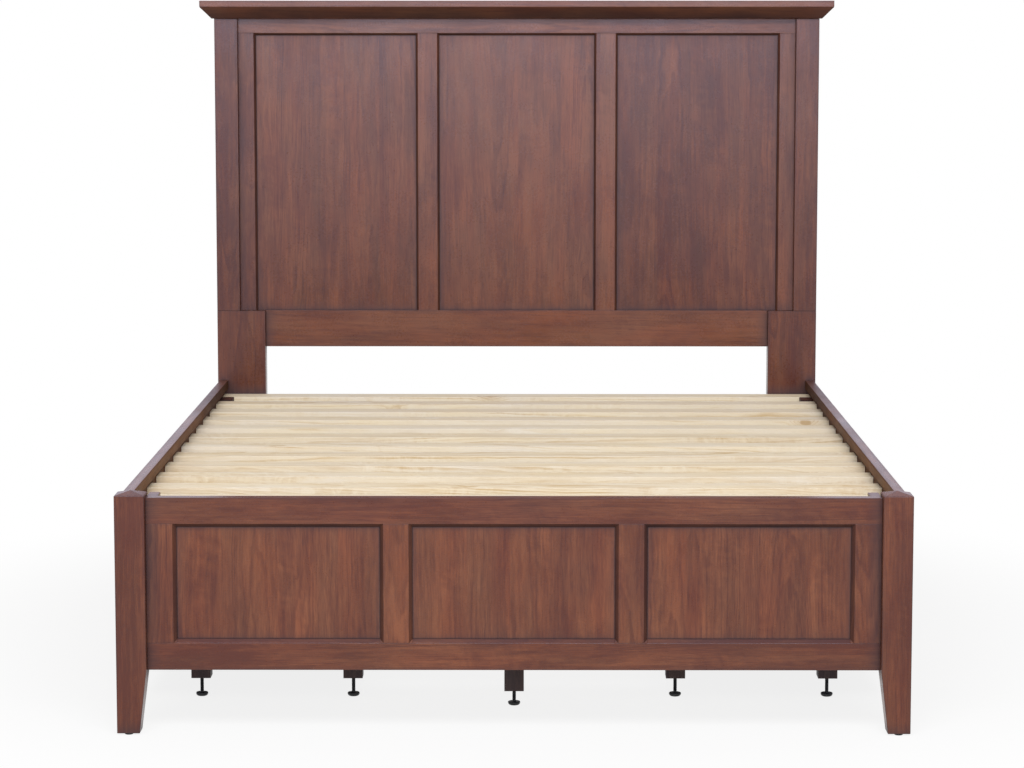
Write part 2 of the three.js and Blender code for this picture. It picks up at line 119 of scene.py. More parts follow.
class Coat(Enum):
    """Which of a walnut piece's materials a face wears."""

    LACQUER = 0
    GLAZE = 1
    SEALER = 2


class Side(Enum):
    """Sides of the bed as seen from the foot end, with the sign of X."""

    LEFT = -1
    RIGHT = 1

    @property
    def word(self) -> str:
        """The side's name as the CAD nodes spell it."""
        return self.name.lower()


class Lie(Enum):
    """How a board lies: the axes along its grain, across its face and through its thickness."""

    STANDING = (2, 0, 1)
    CROSSWAYS = (0, 2, 1)
    CROSSWAYS_FLAT = (0, 1, 2)
    LENGTHWAYS = (1, 2, 0)
    LENGTHWAYS_FLAT = (1, 0, 2)


# Node trees


class Bench:
    """Adds nodes to one tree and wires them."""

    def __init__(self, tree: Tree) -> None:
        """Starts on the tree of a material, a world or a group."""
        self.tree = tree

    def add(self, kind: str, inputs: Mapping[str | int, object] | None = None,
            **settings: object) -> bpy.types.Node:
        """Adds a node.

        Args:
            kind: Blender's name of the node type, after ShaderNode.
            inputs: What each input gets: an output to link or a value, which is three numbers for a colour.
            **settings: Properties to set on it.

        Returns:
            The new node.
        """
        node = self.tree.nodes.new("ShaderNode" + kind)
        for name, value in settings.items():
            setattr(node, name, value)
        for key, value in (inputs or {}).items():
            socket = node.inputs[key]
            if isinstance(value, Socket):
                self.tree.links.new(value, socket)
            else:
                socket.default_value = (*value, 1.0) if socket.type == "RGBA" else value
        return node

    def math(self, operation: str, *terms: object) -> Socket:
        """Adds a Math node and gives its value."""
        return self.add("Math", dict(enumerate(terms)), operation=operation).outputs[0]

    def times(self, *factors: object) -> Socket:
        """Multiplies values, the first two first."""
        return functools.reduce(functools.partial(self.math, "MULTIPLY"), factors)

    def vector(self, operation: str, *terms: object) -> Socket:
        """Adds a Vector Math node and gives its vector, or its value where that is a length."""
        node = self.add("VectorMath", dict(enumerate(terms)), operation=operation)
        return node.outputs["Value" if operation == "LENGTH" else "Vector"]

    def scaled(self, vector: Socket, along: float, across: float) -> Socket:
        """Scales a vector along the grain and across it."""
        return self.vector("MULTIPLY", vector, (along, across, across))

    def crossways(self, amount: Socket) -> Socket:
        """Makes a vector that acts across the grain only."""
        return self.add("CombineXYZ", {1: amount, 2: amount}).outputs[0]

    def noise(self, place: Socket, along: float, across: float, detail: float = 2.0, rough: float = 0.5,
              distort: float = 0.0, output: str = "Fac") -> Socket:
        """Adds a Noise texture read at a place, with its scales per metre along and across the grain."""
        inputs = {"Vector": self.scaled(place, along, across), "Scale": 1.0, "Detail": detail,
                  "Roughness": rough, "Distortion": distort}
        return self.add("TexNoise", inputs).outputs[output]

    def drift(self, place: Socket, along: float, across: float, rough: float = 0.5) -> Socket:
        """Adds a noise vector that swings evenly round zero."""
        noise = self.noise(place, along, across, rough=rough, output="Color")
        return self.vector("SUBTRACT", noise, (0.5, 0.5, 0.5))

    def span(self, value: Socket, low: float, high: float, to_low: object = 0.0, to_high: object = 1.0,
             smooth: bool = True) -> Socket:
        """Maps low to to_low and high to to_high, clamped, and eased in and out where smooth."""
        inputs = {"Value": value, "From Min": low, "From Max": high, "To Min": to_low, "To Max": to_high}
        return self.add("MapRange", inputs,
                        interpolation_type="SMOOTHSTEP" if smooth else "LINEAR").outputs["Result"]

    def mixed(self, share: object, first: object, second: object, blend: str = "MIX") -> Socket:
        """Mixes two colours; the share is how much of the second shows."""
        inputs = {0: share, 6: first, 7: second}
        return self.add("Mix", inputs, data_type="RGBA", blend_type=blend).outputs[2]

    def stored(self, name: str, output: str = "Fac") -> Socket:
        """Reads what a mesh stores on its corners."""
        return self.add("Attribute", attribute_name=name).outputs[output]

    def use(self, effect: "Effect", **inputs: object) -> Sockets:
        """Places an effect's node group and gives its outputs."""
        return self.add("Group", inputs, node_tree=group_of(effect, inputs)).outputs

    def seen_by_eye(self) -> Socket:
        """One where a ray comes from the camera, a mirror or a glass, and zero for scattered light."""
        rays = self.add("LightPath").outputs
        either = self.math("MAXIMUM", rays["Is Camera Ray"], rays["Is Glossy Ray"])
        return self.math("MAXIMUM", either, rays["Is Transmission Ray"])


Effect = Callable[[Bench, Sockets], Sockets]
SOCKET_KINDS = {"Point": "Vector", "Colour": "Color", "Rubbed": "Color", "Glaze": "Color"}


def cleared(owner: bpy.types.Material | bpy.types.World) -> Bench:
    """Empties a material's or a world's tree.

    Args:
        owner: The material or world.

    Returns:
        A bench on its tree.
    """
    owner.use_nodes = True
    owner.node_tree.nodes.clear()
    return Bench(owner.node_tree)


def group_of(effect: Effect, inputs: Iterable[str]) -> Tree:
    """Gives an effect's node group, made the first time.

    Args:
        effect: Wires the group, from its inputs to the outputs that it returns.
        inputs: Names of the group's inputs.

    Returns:
        The group's tree, named after the effect.
    """
    if effect.__name__ in bpy.data.node_groups:
        return bpy.data.node_groups[effect.__name__]
    tree = bpy.data.node_groups.new(effect.__name__, "ShaderNodeTree")

    def open_up(names: Iterable[str], in_out: str) -> None:
        """Adds sockets to the group's interface."""
        for name in names:
            kind = "NodeSocket" + SOCKET_KINDS.get(name, "Float")
            tree.interface.new_socket(name=name, in_out=in_out, socket_type=kind)

    open_up(inputs, "INPUT")
    made = effect(Bench(tree), tree.nodes.new("NodeGroupInput").outputs)
    open_up(made, "OUTPUT")
    end = tree.nodes.new("NodeGroupOutput")
    for name, value in made.items():
        tree.links.new(value, end.inputs[name])
    return tree


def wood_figure(bench: Bench, given: Sockets) -> Sockets:
    """Grain of solid wood, cut out of growth rings that run round the tree's heart.

    Args:
        bench: The group's bench.
        given: A point of the tree, the spacing of its rings and how far they wander.

    Returns:
        Masks of the figure.
    """
    point = given["Point"]
    reach = bench.vector("MULTIPLY", bench.drift(point, 1.6, 6.0), bench.crossways(given["Wander"]))
    fret = bench.scaled(bench.drift(point, 8.0, 26.0, 0.55), 0.0, RING_FRET)
    bent = bench.vector("ADD", bench.vector("ADD", point, reach), fret)
    radius = bench.vector("LENGTH", bench.scaled(bent, 0.0, 1.0))
    rings = bench.math("DIVIDE", radius, given["Spacing"])
    within = bench.math("FRACT", rings)
    year = bench.add("TexWhiteNoise", {"W": bench.math("FLOOR", rings)}, noise_dimensions="1D")
    late = bench.times(bench.span(within, 0.12, 0.86), bench.span(within, 0.88, 1.0, 1.0, 0.0))
    strength = bench.span(year.outputs["Value"], 0.0, 1.0, 0.1, 1.0, smooth=False)
    faded = bench.span(bench.noise(point, 5.0, 14.0), 0.35, 0.62, 0.2, 1.0)
    masks = {"Rings": bench.times(late, strength, faded)}
    elsewhere = bench.vector("ADD", bent, ELSEWHERE)
    for name, place, along, across, detail, rough in (("Bands", bent, 2.0, 22.0, 2.0, 0.5),
                                                      ("Streaks", bent, 7.0, 150.0, 3.0, 0.6),
                                                      ("Fibre", bent, 30.0, 700.0, 2.0, 0.6),
                                                      ("Clouds", point, 5.0, 13.0, 4.0, 0.58),
                                                      ("Warmth", elsewhere, 3.5, 17.0, 3.0, 0.6)):
        value = bench.noise(place, along, across, detail, rough)
        masks[name] = bench.span(value, 0.28, 0.72, smooth=False)
    parts = bench.add("SeparateXYZ", {0: bent}).outputs
    slant = bench.math("MULTIPLY_ADD", parts[1], 0.3, parts[0])
    slanted = bench.add("CombineXYZ", {0: slant, 1: parts[1], 2: parts[2]}).outputs[0]
    ripple = bench.span(bench.noise(slanted, 42.0, 24.0, 3.0, 0.6, 0.8), 0.3, 0.7)
    patch = bench.span(bench.noise(point, 5.5, 11.0, 1.0), 0.5, 0.66)
    masks["Curl"] = bench.times(bench.math("SUBTRACT", ripple, 0.5), patch)
    masks["Pores"] = bench.span(bench.noise(bent, 95.0, 1150.0), 0.56, 0.72)
    return masks


def knots(bench: Bench, given: Sockets) -> Sockets:
    """Small knots strewn over a board, each with grain that flows round it.

    Args:
        bench: The group's bench.
        given: A point of the tree and the share of places that have a knot.

    Returns:
        The point pushed aside by the nearest knot, and masks of the knot and its surroundings.
    """
    point = given["Point"]
    ragged = bench.scaled(bench.drift(point, 60.0, 120.0), 0.012, 0.006)
    place = bench.scaled(bench.vector("ADD", point, ragged), *KNOT_CELLS)
    cells = bench.add("TexVoronoi", {"Vector": place, "Scale": 1.0}).outputs
    lot = bench.add("SeparateColor", {0: cells["Color"]}).outputs
    chosen = bench.math("LESS_THAN", lot[0], given["Share"])
    size = bench.span(lot[1], 0.0, 1.0, *KNOT_SIZES, smooth=False)
    away = bench.math("DIVIDE", cells["Distance"], size)
    core = bench.times(bench.span(away, 0.75, 1.15, 1.0, 0.0), chosen)
    halo = bench.times(bench.math("POWER", bench.span(away, 0.0, 4.5, 1.0, 0.0), 2.0), chosen)
    push = bench.crossways(bench.times(halo, KNOT_PUSH))
    return {"Point": bench.vector("ADD", point, push), "Core": core, "Halo": halo}


def worn_edges(bench: Bench, given: Sockets) -> Sockets:
    """Tints the eased edges in patches: wear on the metal and the plastic, painted shade on the walnut and a
    painted highlight on the slats.

    Args:
        bench: The group's bench.
        given: The colour, the edge colour and the amount of it.

    Returns:
        The colour with the edge colour mixed in along the eased edges.
    """
    patches = bench.noise(bench.stored("grain", "Vector"), 14.0, 60.0, 3.0, 0.6)
    rubbed = bench.times(bench.stored("edge"), bench.span(patches, 0.35, 0.65, 0.35, 1.0), given["Amount"])
    return {"Colour": bench.mixed(rubbed, given["Colour"], given["Rubbed"])}


def recess_glaze(bench: Bench, given: Sockets) -> Sockets:
    """Dark glaze in mouldings, with painted shade in corners and darkening along rims.

    Args:
        bench: The group's bench.
        given: The colour, the colour of the glaze and painted shade, the amount of it, how much painted shade
            gathers in corners and how dark the rims get.

    Returns:
        The colour with the glaze and painted shade mixed in, and their mask.
    """
    uneven = bench.span(bench.noise(bench.stored("grain", "Vector"), 11.0, 25.0), 0.3, 0.7, 0.82, 1.0)
    # Ambient occlusion paints shade into corners; looked for inside the solid, it darkens convex rims
    corner = bench.add("AmbientOcclusion", {"Distance": CORNER_REACH}, samples=OCCLUSION_SAMPLES)
    rim = bench.add("AmbientOcclusion", {"Distance": RIM_REACH}, samples=OCCLUSION_SAMPLES, inside=True,
                    only_local=True)
    shut_in = bench.span(corner.outputs["AO"], CORNER_SHUT, 1.0, given["Corners"], 0.0, smooth=False)
    gathered = bench.times(shut_in, bench.stored("shelter"))
    rim_dark = bench.span(rim.outputs["AO"], RIM_SHUT, 1.0, given["Rims"], 0.0, smooth=False)
    held = bench.math("MAXIMUM", bench.stored("recess"), bench.math("MAXIMUM", gathered, rim_dark))
    held = bench.times(held, uneven, given["Amount"])
    return {"Colour": bench.mixed(held, given["Colour"], given["Glaze"]), "Mask": held}


def uneven_gloss(bench: Bench, given: Sockets) -> Sockets:
    """Gloss that changes a little from place to place, as a wiped or sprayed finish does.

    Args:
        bench: The group's bench.
        given: The lowest and the highest roughness.

    Returns:
        A roughness between the two.
    """
    place = bench.add("TexCoord").outputs["Object"]
    broad = bench.times(bench.noise(place, 7.0, 7.0, 3.0, 0.55), 0.65)
    both = bench.math("MULTIPLY_ADD", bench.noise(place, 160.0, 160.0), 0.35, broad)
    return {"Roughness": bench.span(both, 0.32, 0.68, given["Low"], given["High"], smooth=False)}


# Finishes


@dataclass(frozen=True, kw_only=True)
class Finish:
    """What all finishes share: a slot, and an uneven gloss and a relief on one shader."""

    name: str
    slot: Slot
    gloss: Span
    specular: float
    relief: float
    relief_strength: float
    shine: Colour = (1.0, 1.0, 1.0)

    def material(self) -> bpy.types.Material:
        """Gives the finish's material, built the first time.

        Returns:
            The material.
        """
        if self.name in bpy.data.materials:
            return bpy.data.materials[self.name]
        material = bpy.data.materials.new(self.name)
        bench = cleared(material)
        gloss = bench.use(uneven_gloss, Low=self.gloss[0], High=self.gloss[1])["Roughness"]
        colour, rough, height = self.surface(bench, gloss)
        relief = {"Strength": self.relief_strength, "Distance": self.relief, "Height": height}
        shader = bench.add("BsdfPrincipled", {
            "Base Color": colour, "Roughness": rough, "Normal": bench.add("Bump", relief).outputs["Normal"],
            "Specular IOR Level": self.specular, "Specular Tint": self.shine})
        bench.add("OutputMaterial", {"Surface": shader.outputs["BSDF"]})
        return material

    def surface(self, bench: Bench, gloss: Socket) -> tuple[Socket, Socket, Socket]:
        """Wires the colour, the roughness and the relief's height, which are each finish's own."""
        raise NotImplementedError


@dataclass(frozen=True, kw_only=True)
class WoodFinish(Finish):
    """A solid wood with its stain and lacquer."""

    dark: Colour
    middle: Colour
    light: Colour
    # The glaze's colour, which also colours the painted shade in corners and recesses
    glaze: Colour
    rubbed: Colour
    pore: Colour
    gloss: Span = (0.23, 0.33)
    specular: float = 0.5
    relief: float = 0.05 * MM
    relief_strength: float = 0.5
    ring_spacing: float = 3.4 * MM
    wander: float = 22.0 * MM
    ring_share: float = 0.5
    band_share: float = 0.46
    streak_share: float = 0.54
    fibre_share: float = 0.42
    cloud_share: float = 0.7
    curl_share: float = 0.26
    pore_share: float = 0.35
    cool: Colour = (0.93, 1.05, 1.2)
    warm: Colour = (1.07, 0.95, 0.8)
    knot_share: float = 0.0
    knot: Colour = (0.2, 0.1, 0.05)
    glaze_amount: float = 0.9
    corner_glaze: float = 0.8
    rim_glaze: float = 0.3
    wear_amount: float = 0.2
    pore_roughness: float = 0.12
    glaze_roughness: float = 0.3

    def surface(self, bench: Bench, gloss: Socket) -> tuple[Socket, Socket, Socket]:
        """Wires the grain, the stain, the glaze with painted shade in corners, and the painted shade or
        highlight along the edges.

        Args:
            bench: The material's bench.
            gloss: The uneven roughness.

        Returns:
            The colour, the roughness and the height of the relief.
        """
        point = bench.stored("grain", "Vector")
        if self.knot_share:
            knotted = bench.use(knots, Point=point, Share=self.knot_share)
            point = knotted["Point"]
        figure = bench.use(wood_figure, Point=point, Spacing=self.ring_spacing, Wander=self.wander)
        tone = bench.math("ADD", bench.stored("tone"), 0.5)
        for name, middle, share in (("Rings", 0.2, -self.ring_share), ("Bands", 0.5, self.band_share),
                                    ("Streaks", 0.5, self.streak_share), ("Fibre", 0.5, self.fibre_share),
                                    ("Clouds", 0.5, self.cloud_share), ("Curl", 0.0, self.curl_share)):
            tone = bench.math("MULTIPLY_ADD", bench.math("SUBTRACT", figure[name], middle), share, tone)
        ramp = bench.add("ValToRGB", {0: tone})
        ramp.color_ramp.elements.new(0.5)
        for stop, stain in zip(ramp.color_ramp.elements, (self.dark, self.middle, self.light)):
            stop.color = (*stain, 1.0)
        hue = bench.mixed(figure["Warmth"], self.cool, self.warm)
        colour = bench.mixed(1.0, ramp.outputs["Color"], hue, "MULTIPLY")
        colour = bench.mixed(bench.times(figure["Pores"], self.pore_share), colour, self.pore)
        if self.knot_share:
            for name, share in (("Halo", 0.35), ("Core", 0.8)):
                colour = bench.mixed(bench.times(knotted[name], share), colour, self.knot)
        glazed_and_shaded = bench.use(recess_glaze, Colour=colour, Glaze=self.glaze, Amount=self.glaze_amount,
                           Corners=self.corner_glaze, Rims=self.rim_glaze)
        edge_tinted = bench.use(worn_edges, Colour=glazed_and_shaded["Colour"], Rubbed=self.rubbed, Amount=self.wear_amount)
        rough = bench.math("MULTIPLY_ADD", figure["Pores"], self.pore_roughness, gloss)
        rough = bench.math("MULTIPLY_ADD", glazed_and_shaded["Mask"], self.glaze_roughness, rough)
        height = bench.times(figure["Fibre"], 0.3)
        for name, share in (("Rings", 0.25), ("Pores", -0.4)):
            height = bench.math("MULTIPLY_ADD", figure[name], share, height)
        return edge_tinted["Colour"], rough, height


@dataclass(frozen=True, kw_only=True)
class HardFinish(Finish):
    """Blackened metal or moulded plastic."""

    colour: Colour
    lighter: Colour
    pit_scale: float
    mottle_scale: float = 90.0
    specular: float = 0.3
    relief_strength: float = 0.4
    rubbed_gain: float = 2.2
    wear_amount: float = 0.5

    def surface(self, bench: Bench, gloss: Socket) -> tuple[Socket, Socket, Socket]:
        """Wires the mottled colour, the wear and the pits.

        Args:
            bench: The material's bench.
            gloss: The uneven roughness.

        Returns:
            The colour, the roughness and the height of the relief.
        """
        place = bench.add("TexCoord").outputs["Object"]
        mottle = bench.noise(place, self.mottle_scale, self.mottle_scale, 3.0, 0.6)
        tint = bench.mixed(bench.span(mottle, 0.35, 0.7), self.colour, self.lighter)
        rubbed = [self.rubbed_gain * c for c in self.lighter]
        edge_tinted = bench.use(worn_edges, Colour=tint, Rubbed=rubbed, Amount=self.wear_amount)
        return edge_tinted["Colour"], gloss, bench.noise(place, self.pit_scale, self.pit_scale, 2.0, 0.6)


# Walnut's eased edges take a near-black tint: painted shade along the edges
WALNUT = WoodFinish(
    name="walnut_lacquer", slot=Slot.WALNUT, dark=(0.079, 0.0168, 0.0031), middle=(0.131, 0.0364, 0.0099),
    light=(0.192, 0.0605, 0.0192), glaze=(0.016, 0.0055, 0.0035), rubbed=(0.04, 0.012, 0.006),
    pore=(0.035, 0.01, 0.004), shine=(0.74, 0.83, 1.0), wear_amount=0.5)
# Faces deep in glaze and painted shade wear this darker, rougher, less shiny coat
GLAZE_AND_SHADE_WALNUT = replace(WALNUT, name="walnut_glaze", glaze=(0.012, 0.0045, 0.0035), gloss=(0.42, 0.52),
                        specular=0.38)
MATT_WALNUT = replace(
    WALNUT, name="walnut_sealer", dark=(0.105, 0.0365, 0.008), middle=(0.158, 0.0585, 0.0146),
    light=(0.205, 0.085, 0.0258), gloss=(0.5, 0.62), specular=0.15, glaze_amount=0.7)
DARK = WoodFinish(
    name="dark_lacquer", slot=Slot.DARK, dark=(0.014, 0.006, 0.0055), middle=(0.03, 0.0135, 0.0125),
    light=(0.052, 0.028, 0.022), glaze=(0.008, 0.005, 0.004), rubbed=(0.07, 0.04, 0.03),
    pore=(0.01, 0.006, 0.005), rim_glaze=0.0, gloss=(0.4, 0.55), specular=0.3)
# The slats' eased edges take a pale tint: a painted highlight along their arrises
PALE = WoodFinish(
    name="pale_softwood", slot=Slot.PALE, dark=(0.65, 0.48, 0.27), middle=(0.842, 0.728, 0.537),
    light=(0.897, 0.813, 0.656), glaze=(0.3, 0.2, 0.12), rubbed=(0.93, 0.87, 0.75), pore=(0.6, 0.45, 0.28),
    ring_spacing=6.0 * MM, wander=34.0 * MM, ring_share=0.62, band_share=0.26, streak_share=0.22,
    fibre_share=0.22, cloud_share=0.36, curl_share=0.3, pore_share=0.2, cool=(0.985, 1.0, 1.035),
    warm=(1.015, 0.985, 0.89), knot_share=0.14, knot=(0.56, 0.38, 0.19), corner_glaze=0.0, rim_glaze=0.0,
    gloss=(0.55, 0.66), wear_amount=0.7, specular=0.25)
METAL = HardFinish(
    name="black_zinc", slot=Slot.METAL, colour=(0.01, 0.0105, 0.011), lighter=(0.022, 0.0235, 0.0245),
    gloss=(0.36, 0.5), pit_scale=900.0, relief=0.03 * MM)
PLASTIC = HardFinish(
    name="black_nylon", slot=Slot.PLASTIC, colour=(0.008, 0.008, 0.008), lighter=(0.014, 0.014, 0.014),
    gloss=(0.45, 0.6), pit_scale=1400.0, relief=0.04 * MM)
WALNUT_COATS = {Coat.GLAZE: GLAZE_AND_SHADE_WALNUT, Coat.SEALER: MATT_WALNUT}


# Boards


@dataclass(frozen=True)
class Grain:
    """Where a board lay in its tree."""

    # What is drawn: the heart's shift as a share of the board's width, its depth, the chance and the
    # distance of one beside the board, the board's lean, its start along the tree, and its tone
    HEART_SHIFT_SHARE = 0.6
    HEART_DEPTH = (0.035, 0.12)
    BESIDE_CHANCE = 0.35
    BESIDE = (0.05, 0.2)
    LEAN = (0.02, 0.045)
    START = 40.0
    TONE_SPREAD = 0.06

    lie: Lie
    middle: Vector
    heart: Pair
    lean: Pair
    start: float
    tone: float

    @classmethod
    def drawn(cls, name: str, lie: Lie, low: Vector, high: Vector, tone: float = 0.0) -> "Grain":
        """Draws a board's place in a tree, the same one on each run.

        Args:
            name: What the draw is seeded with.
            lie: How the board lies.
            low: The board's lowest corner.
            high: The board's highest corner.
            tone: How much lighter it is than the finish's middle.

        Returns:
            The board's grain.
        """
        draw = random.Random(name)
        width = high[lie.value[1]] - low[lie.value[1]]
        shift = draw.uniform(-cls.HEART_SHIFT_SHARE, cls.HEART_SHIFT_SHARE) * width
        depth = draw.choice((-1, 1)) * draw.uniform(*cls.HEART_DEPTH)
        if draw.random() < cls.BESIDE_CHANCE:
            shift = draw.choice((-1, 1)) * (width / 2 + draw.uniform(*cls.BESIDE))
        lean = tuple(draw.uniform(-most, most) for most in cls.LEAN)
        start = draw.uniform(-cls.START, cls.START)
        tone += draw.uniform(-cls.TONE_SPREAD, cls.TONE_SPREAD)
        return cls(lie, (low + high) / 2, (shift, depth), lean, start, tone)

    @classmethod
    def of_node(cls, node: str, lie: Lie, tone: float = 0.0) -> "Grain":
        """Draws the grain of a board that is a whole CAD node."""
        return cls.drawn(node, lie, *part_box(node), tone)

    def at(self, point: Vector) -> Place:
        """Turns a point of the bed into one of the tree.

        Args:
            point: A point in the CAD's frame.

        Returns:
            The place along the tree and the two places across it, from its heart.
        """
        offset = point - self.middle
        along, across, deep = (offset[axis] for axis in self.lie.value)
        return (along + self.start, across - self.heart[0] + self.lean[0] * along,
                deep - self.heart[1] + self.lean[1] * along)


@dataclass(frozen=True)
class Part:
    """One board of a piece that is made of several."""

    label: str
    lie: Lie
    low: Vector
    high: Vector

    @classmethod
    def on_side(cls, side: Side, label: str, lie: Lie, xs: Span, ys: Span, zs: Span) -> "Part":
        """Makes a board of one side of the bed, with its X as distances from the middle line."""
        return cls(label, lie, *map(Vector, zip(sorted(side.value * x for x in xs), ys, zs)))

    def grain(self, owner: str, tone: float = 0.0) -> Grain:
        """Draws the board's grain, seeded with its owner's name and its own."""
        return Grain.drawn(f"{owner} {self.label}", self.lie, self.low, self.high, tone)

    def holds(self, point: Vector, slack: float = 1.0 * MM) -> bool:
        """Says if a point is in the board, give or take its easing."""
        return all(a - slack <= p <= b + slack for a, p, b in zip(self.low, point, self.high))


def layer(elements: bmesh.types.BMFaceSeq | bmesh.types.BMVertSeq, name: str) -> bmesh.types.BMLayerItem:
    """Gives a number layer of a solid's faces or vertices, a new one where it has none."""
    return elements.layers.float.get(name) or elements.layers.float.new(name)


def moulding(face: Face) -> float:
    """Gives the glaze and painted shade on a face by the way it lies: slopes and narrow steps hold it, and
    slopes that turn down take the most as painted shade.

    Args:
        face: A face of a CAD node.

    Returns:
        A share from 0 to 1.
    """
    if max(map(abs, face.normal)) < SLOPE_COSINE:
        up = face.normal.z
        return LEDGE_GLAZE_AND_SHADE if up > LEDGE_COSINE else OVERHANG_GLAZE_AND_SHADE if up < -LEDGE_COSINE else SLOPE_GLAZE_AND_SHADE
    width = face.calc_area() / max(edge.calc_length() for edge in face.edges)
    return 1.0 if width < STEP_LIMIT else 0.0


def bare(*_: object) -> float:
    """Gives nothing, wherever it is asked: no glaze or painted shade, no sealer, no groove."""
    return 0.0


def carried_over(node: str, held: FaceShare) -> Solid:
    """Copies a CAD node as a clean solid of whole flat faces.

    Args:
        node: The node's name.
        held: Gives the glaze and painted shade on a face.

    Returns:
        The solid.
    """
    solid = bmesh.new()
    solid.from_mesh(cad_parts[node].data)
    bmesh.ops.remove_doubles(solid, verts=solid.verts, dist=WELD)
    bmesh.ops.dissolve_limit(solid, angle_limit=FLAT_ANGLE, verts=solid.verts, edges=solid.edges)
    recess = layer(solid.faces, "recess")
    for face in solid.faces:
        face[recess] = held(face)
    return solid


def box(low: Vector, high: Vector) -> Solid:
    """Makes a plain block to be eased or cut further.

    Args:
        low: Its lowest corner.
        high: Its highest corner.

    Returns:
        The solid.
    """
    solid = bmesh.new()
    corners = [solid.verts.new((x, y, z)) for z, y, x in product(*zip(low.zyx, high.zyx))]
    for ring in ((0, 2, 3, 1), (4, 5, 7, 6), (0, 1, 5, 4), (2, 6, 7, 3), (0, 4, 6, 2), (1, 3, 7, 5)):
        solid.faces.new([corners[i] for i in ring])
    return solid


def ease(solid: Solid, width: float, segments: int = 3, above: float = 12.0,
         longer_than: float = 0.0) -> None:
    """Rounds a solid's outward edges, marks the new faces as edge and welds what they collapse to.

    Args:
        solid: The solid to change.
        width: How far each edge is cut back.
        segments: Facets across the rounding.
        above: How many degrees an eased edge has to turn by.
        longer_than: How long an eased edge has to be.
    """
    mark = layer(solid.faces, "edge")
    outward = [edge for edge in solid.edges if len(edge.link_faces) == 2 and edge.is_convex
               and edge.calc_face_angle(0.0) > math.radians(above) and edge.calc_length() > longer_than]
    made = bmesh.ops.bevel(solid, geom=outward, offset=width, offset_type="OFFSET", segments=segments,
                           profile=0.5, affect="EDGES", clamp_overlap=True)
    for face in made["faces"]:
        face[mark] = 1.0
    bmesh.ops.remove_doubles(solid, verts=solid.verts, dist=WELD)


def cut(solid: Solid, faces: Iterable[Face], place: float, axis: int) -> None:
    """Cuts faces where they cross a plane.

    Args:
        solid: The solid that they are on.
        faces: The faces.
        place: Where the plane is along its axis.
        axis: The axis that it is square to.
    """
    faces = list(faces)
    rims = dict.fromkeys(part for face in faces for part in (*face.verts, *face.edges))
    normal = [float(i == axis) for i in range(3)]
    bmesh.ops.bisect_plane(solid, geom=[*rims, *faces], dist=WELD, plane_co=[place * n for n in normal],
                           plane_no=normal)


def turned(profile: Iterable[Pair], place: Pair, segments: int,
           groove: Callable[[float, float], float] = bare) -> Solid:
    """Turns a profile round an upright axis.

    Args:
        profile: Radius and height of each ring from the bottom up, with a radius of 0 at both ends.
        place: The axis's X and Y.
        segments: How many sides a ring has.
        groove: Gives how far the surface is cut in at an angle and height.

    Returns:
        The solid.
    """
    solid = bmesh.new()
    rings = []
    for radius, z in profile:
        ring = []
        for i in range(segments if radius else 1):
            angle = 2 * math.pi * i / segments
            r = radius - groove(angle, z) if radius else 0.0
            ring.append(solid.verts.new((place[0] + r * math.cos(angle), place[1] + r * math.sin(angle), z)))
        rings.append(ring)
    for lower, upper in pairwise(rings):
        for i in range(segments):
            j = (i + 1) % segments
            corners = [lower[i], lower[j]] if len(lower) > 1 else lower
            solid.faces.new([*corners, *([upper[j], upper[i]] if len(upper) > 1 else upper)])
    return solid


def quarter_arc(steps: int) -> list[Pair]:
    """Gives the sine and the versine of each step of a quarter turn."""
    angles = [QUARTER * step / steps for step in range(steps + 1)]
    return [(math.sin(angle), 1 - math.cos(angle)) for angle in angles]


def placed(name: str, data: bpy.types.ID) -> bpy.types.Object:
    """Puts a mesh, a lamp or a camera in the scene.

    Args:
        name: The new object's name.
        data: What it shows.

    Returns:
        The object.
    """
    obj = bpy.data.objects.new(name, data)
    bpy.context.scene.collection.objects.link(obj)
    return obj


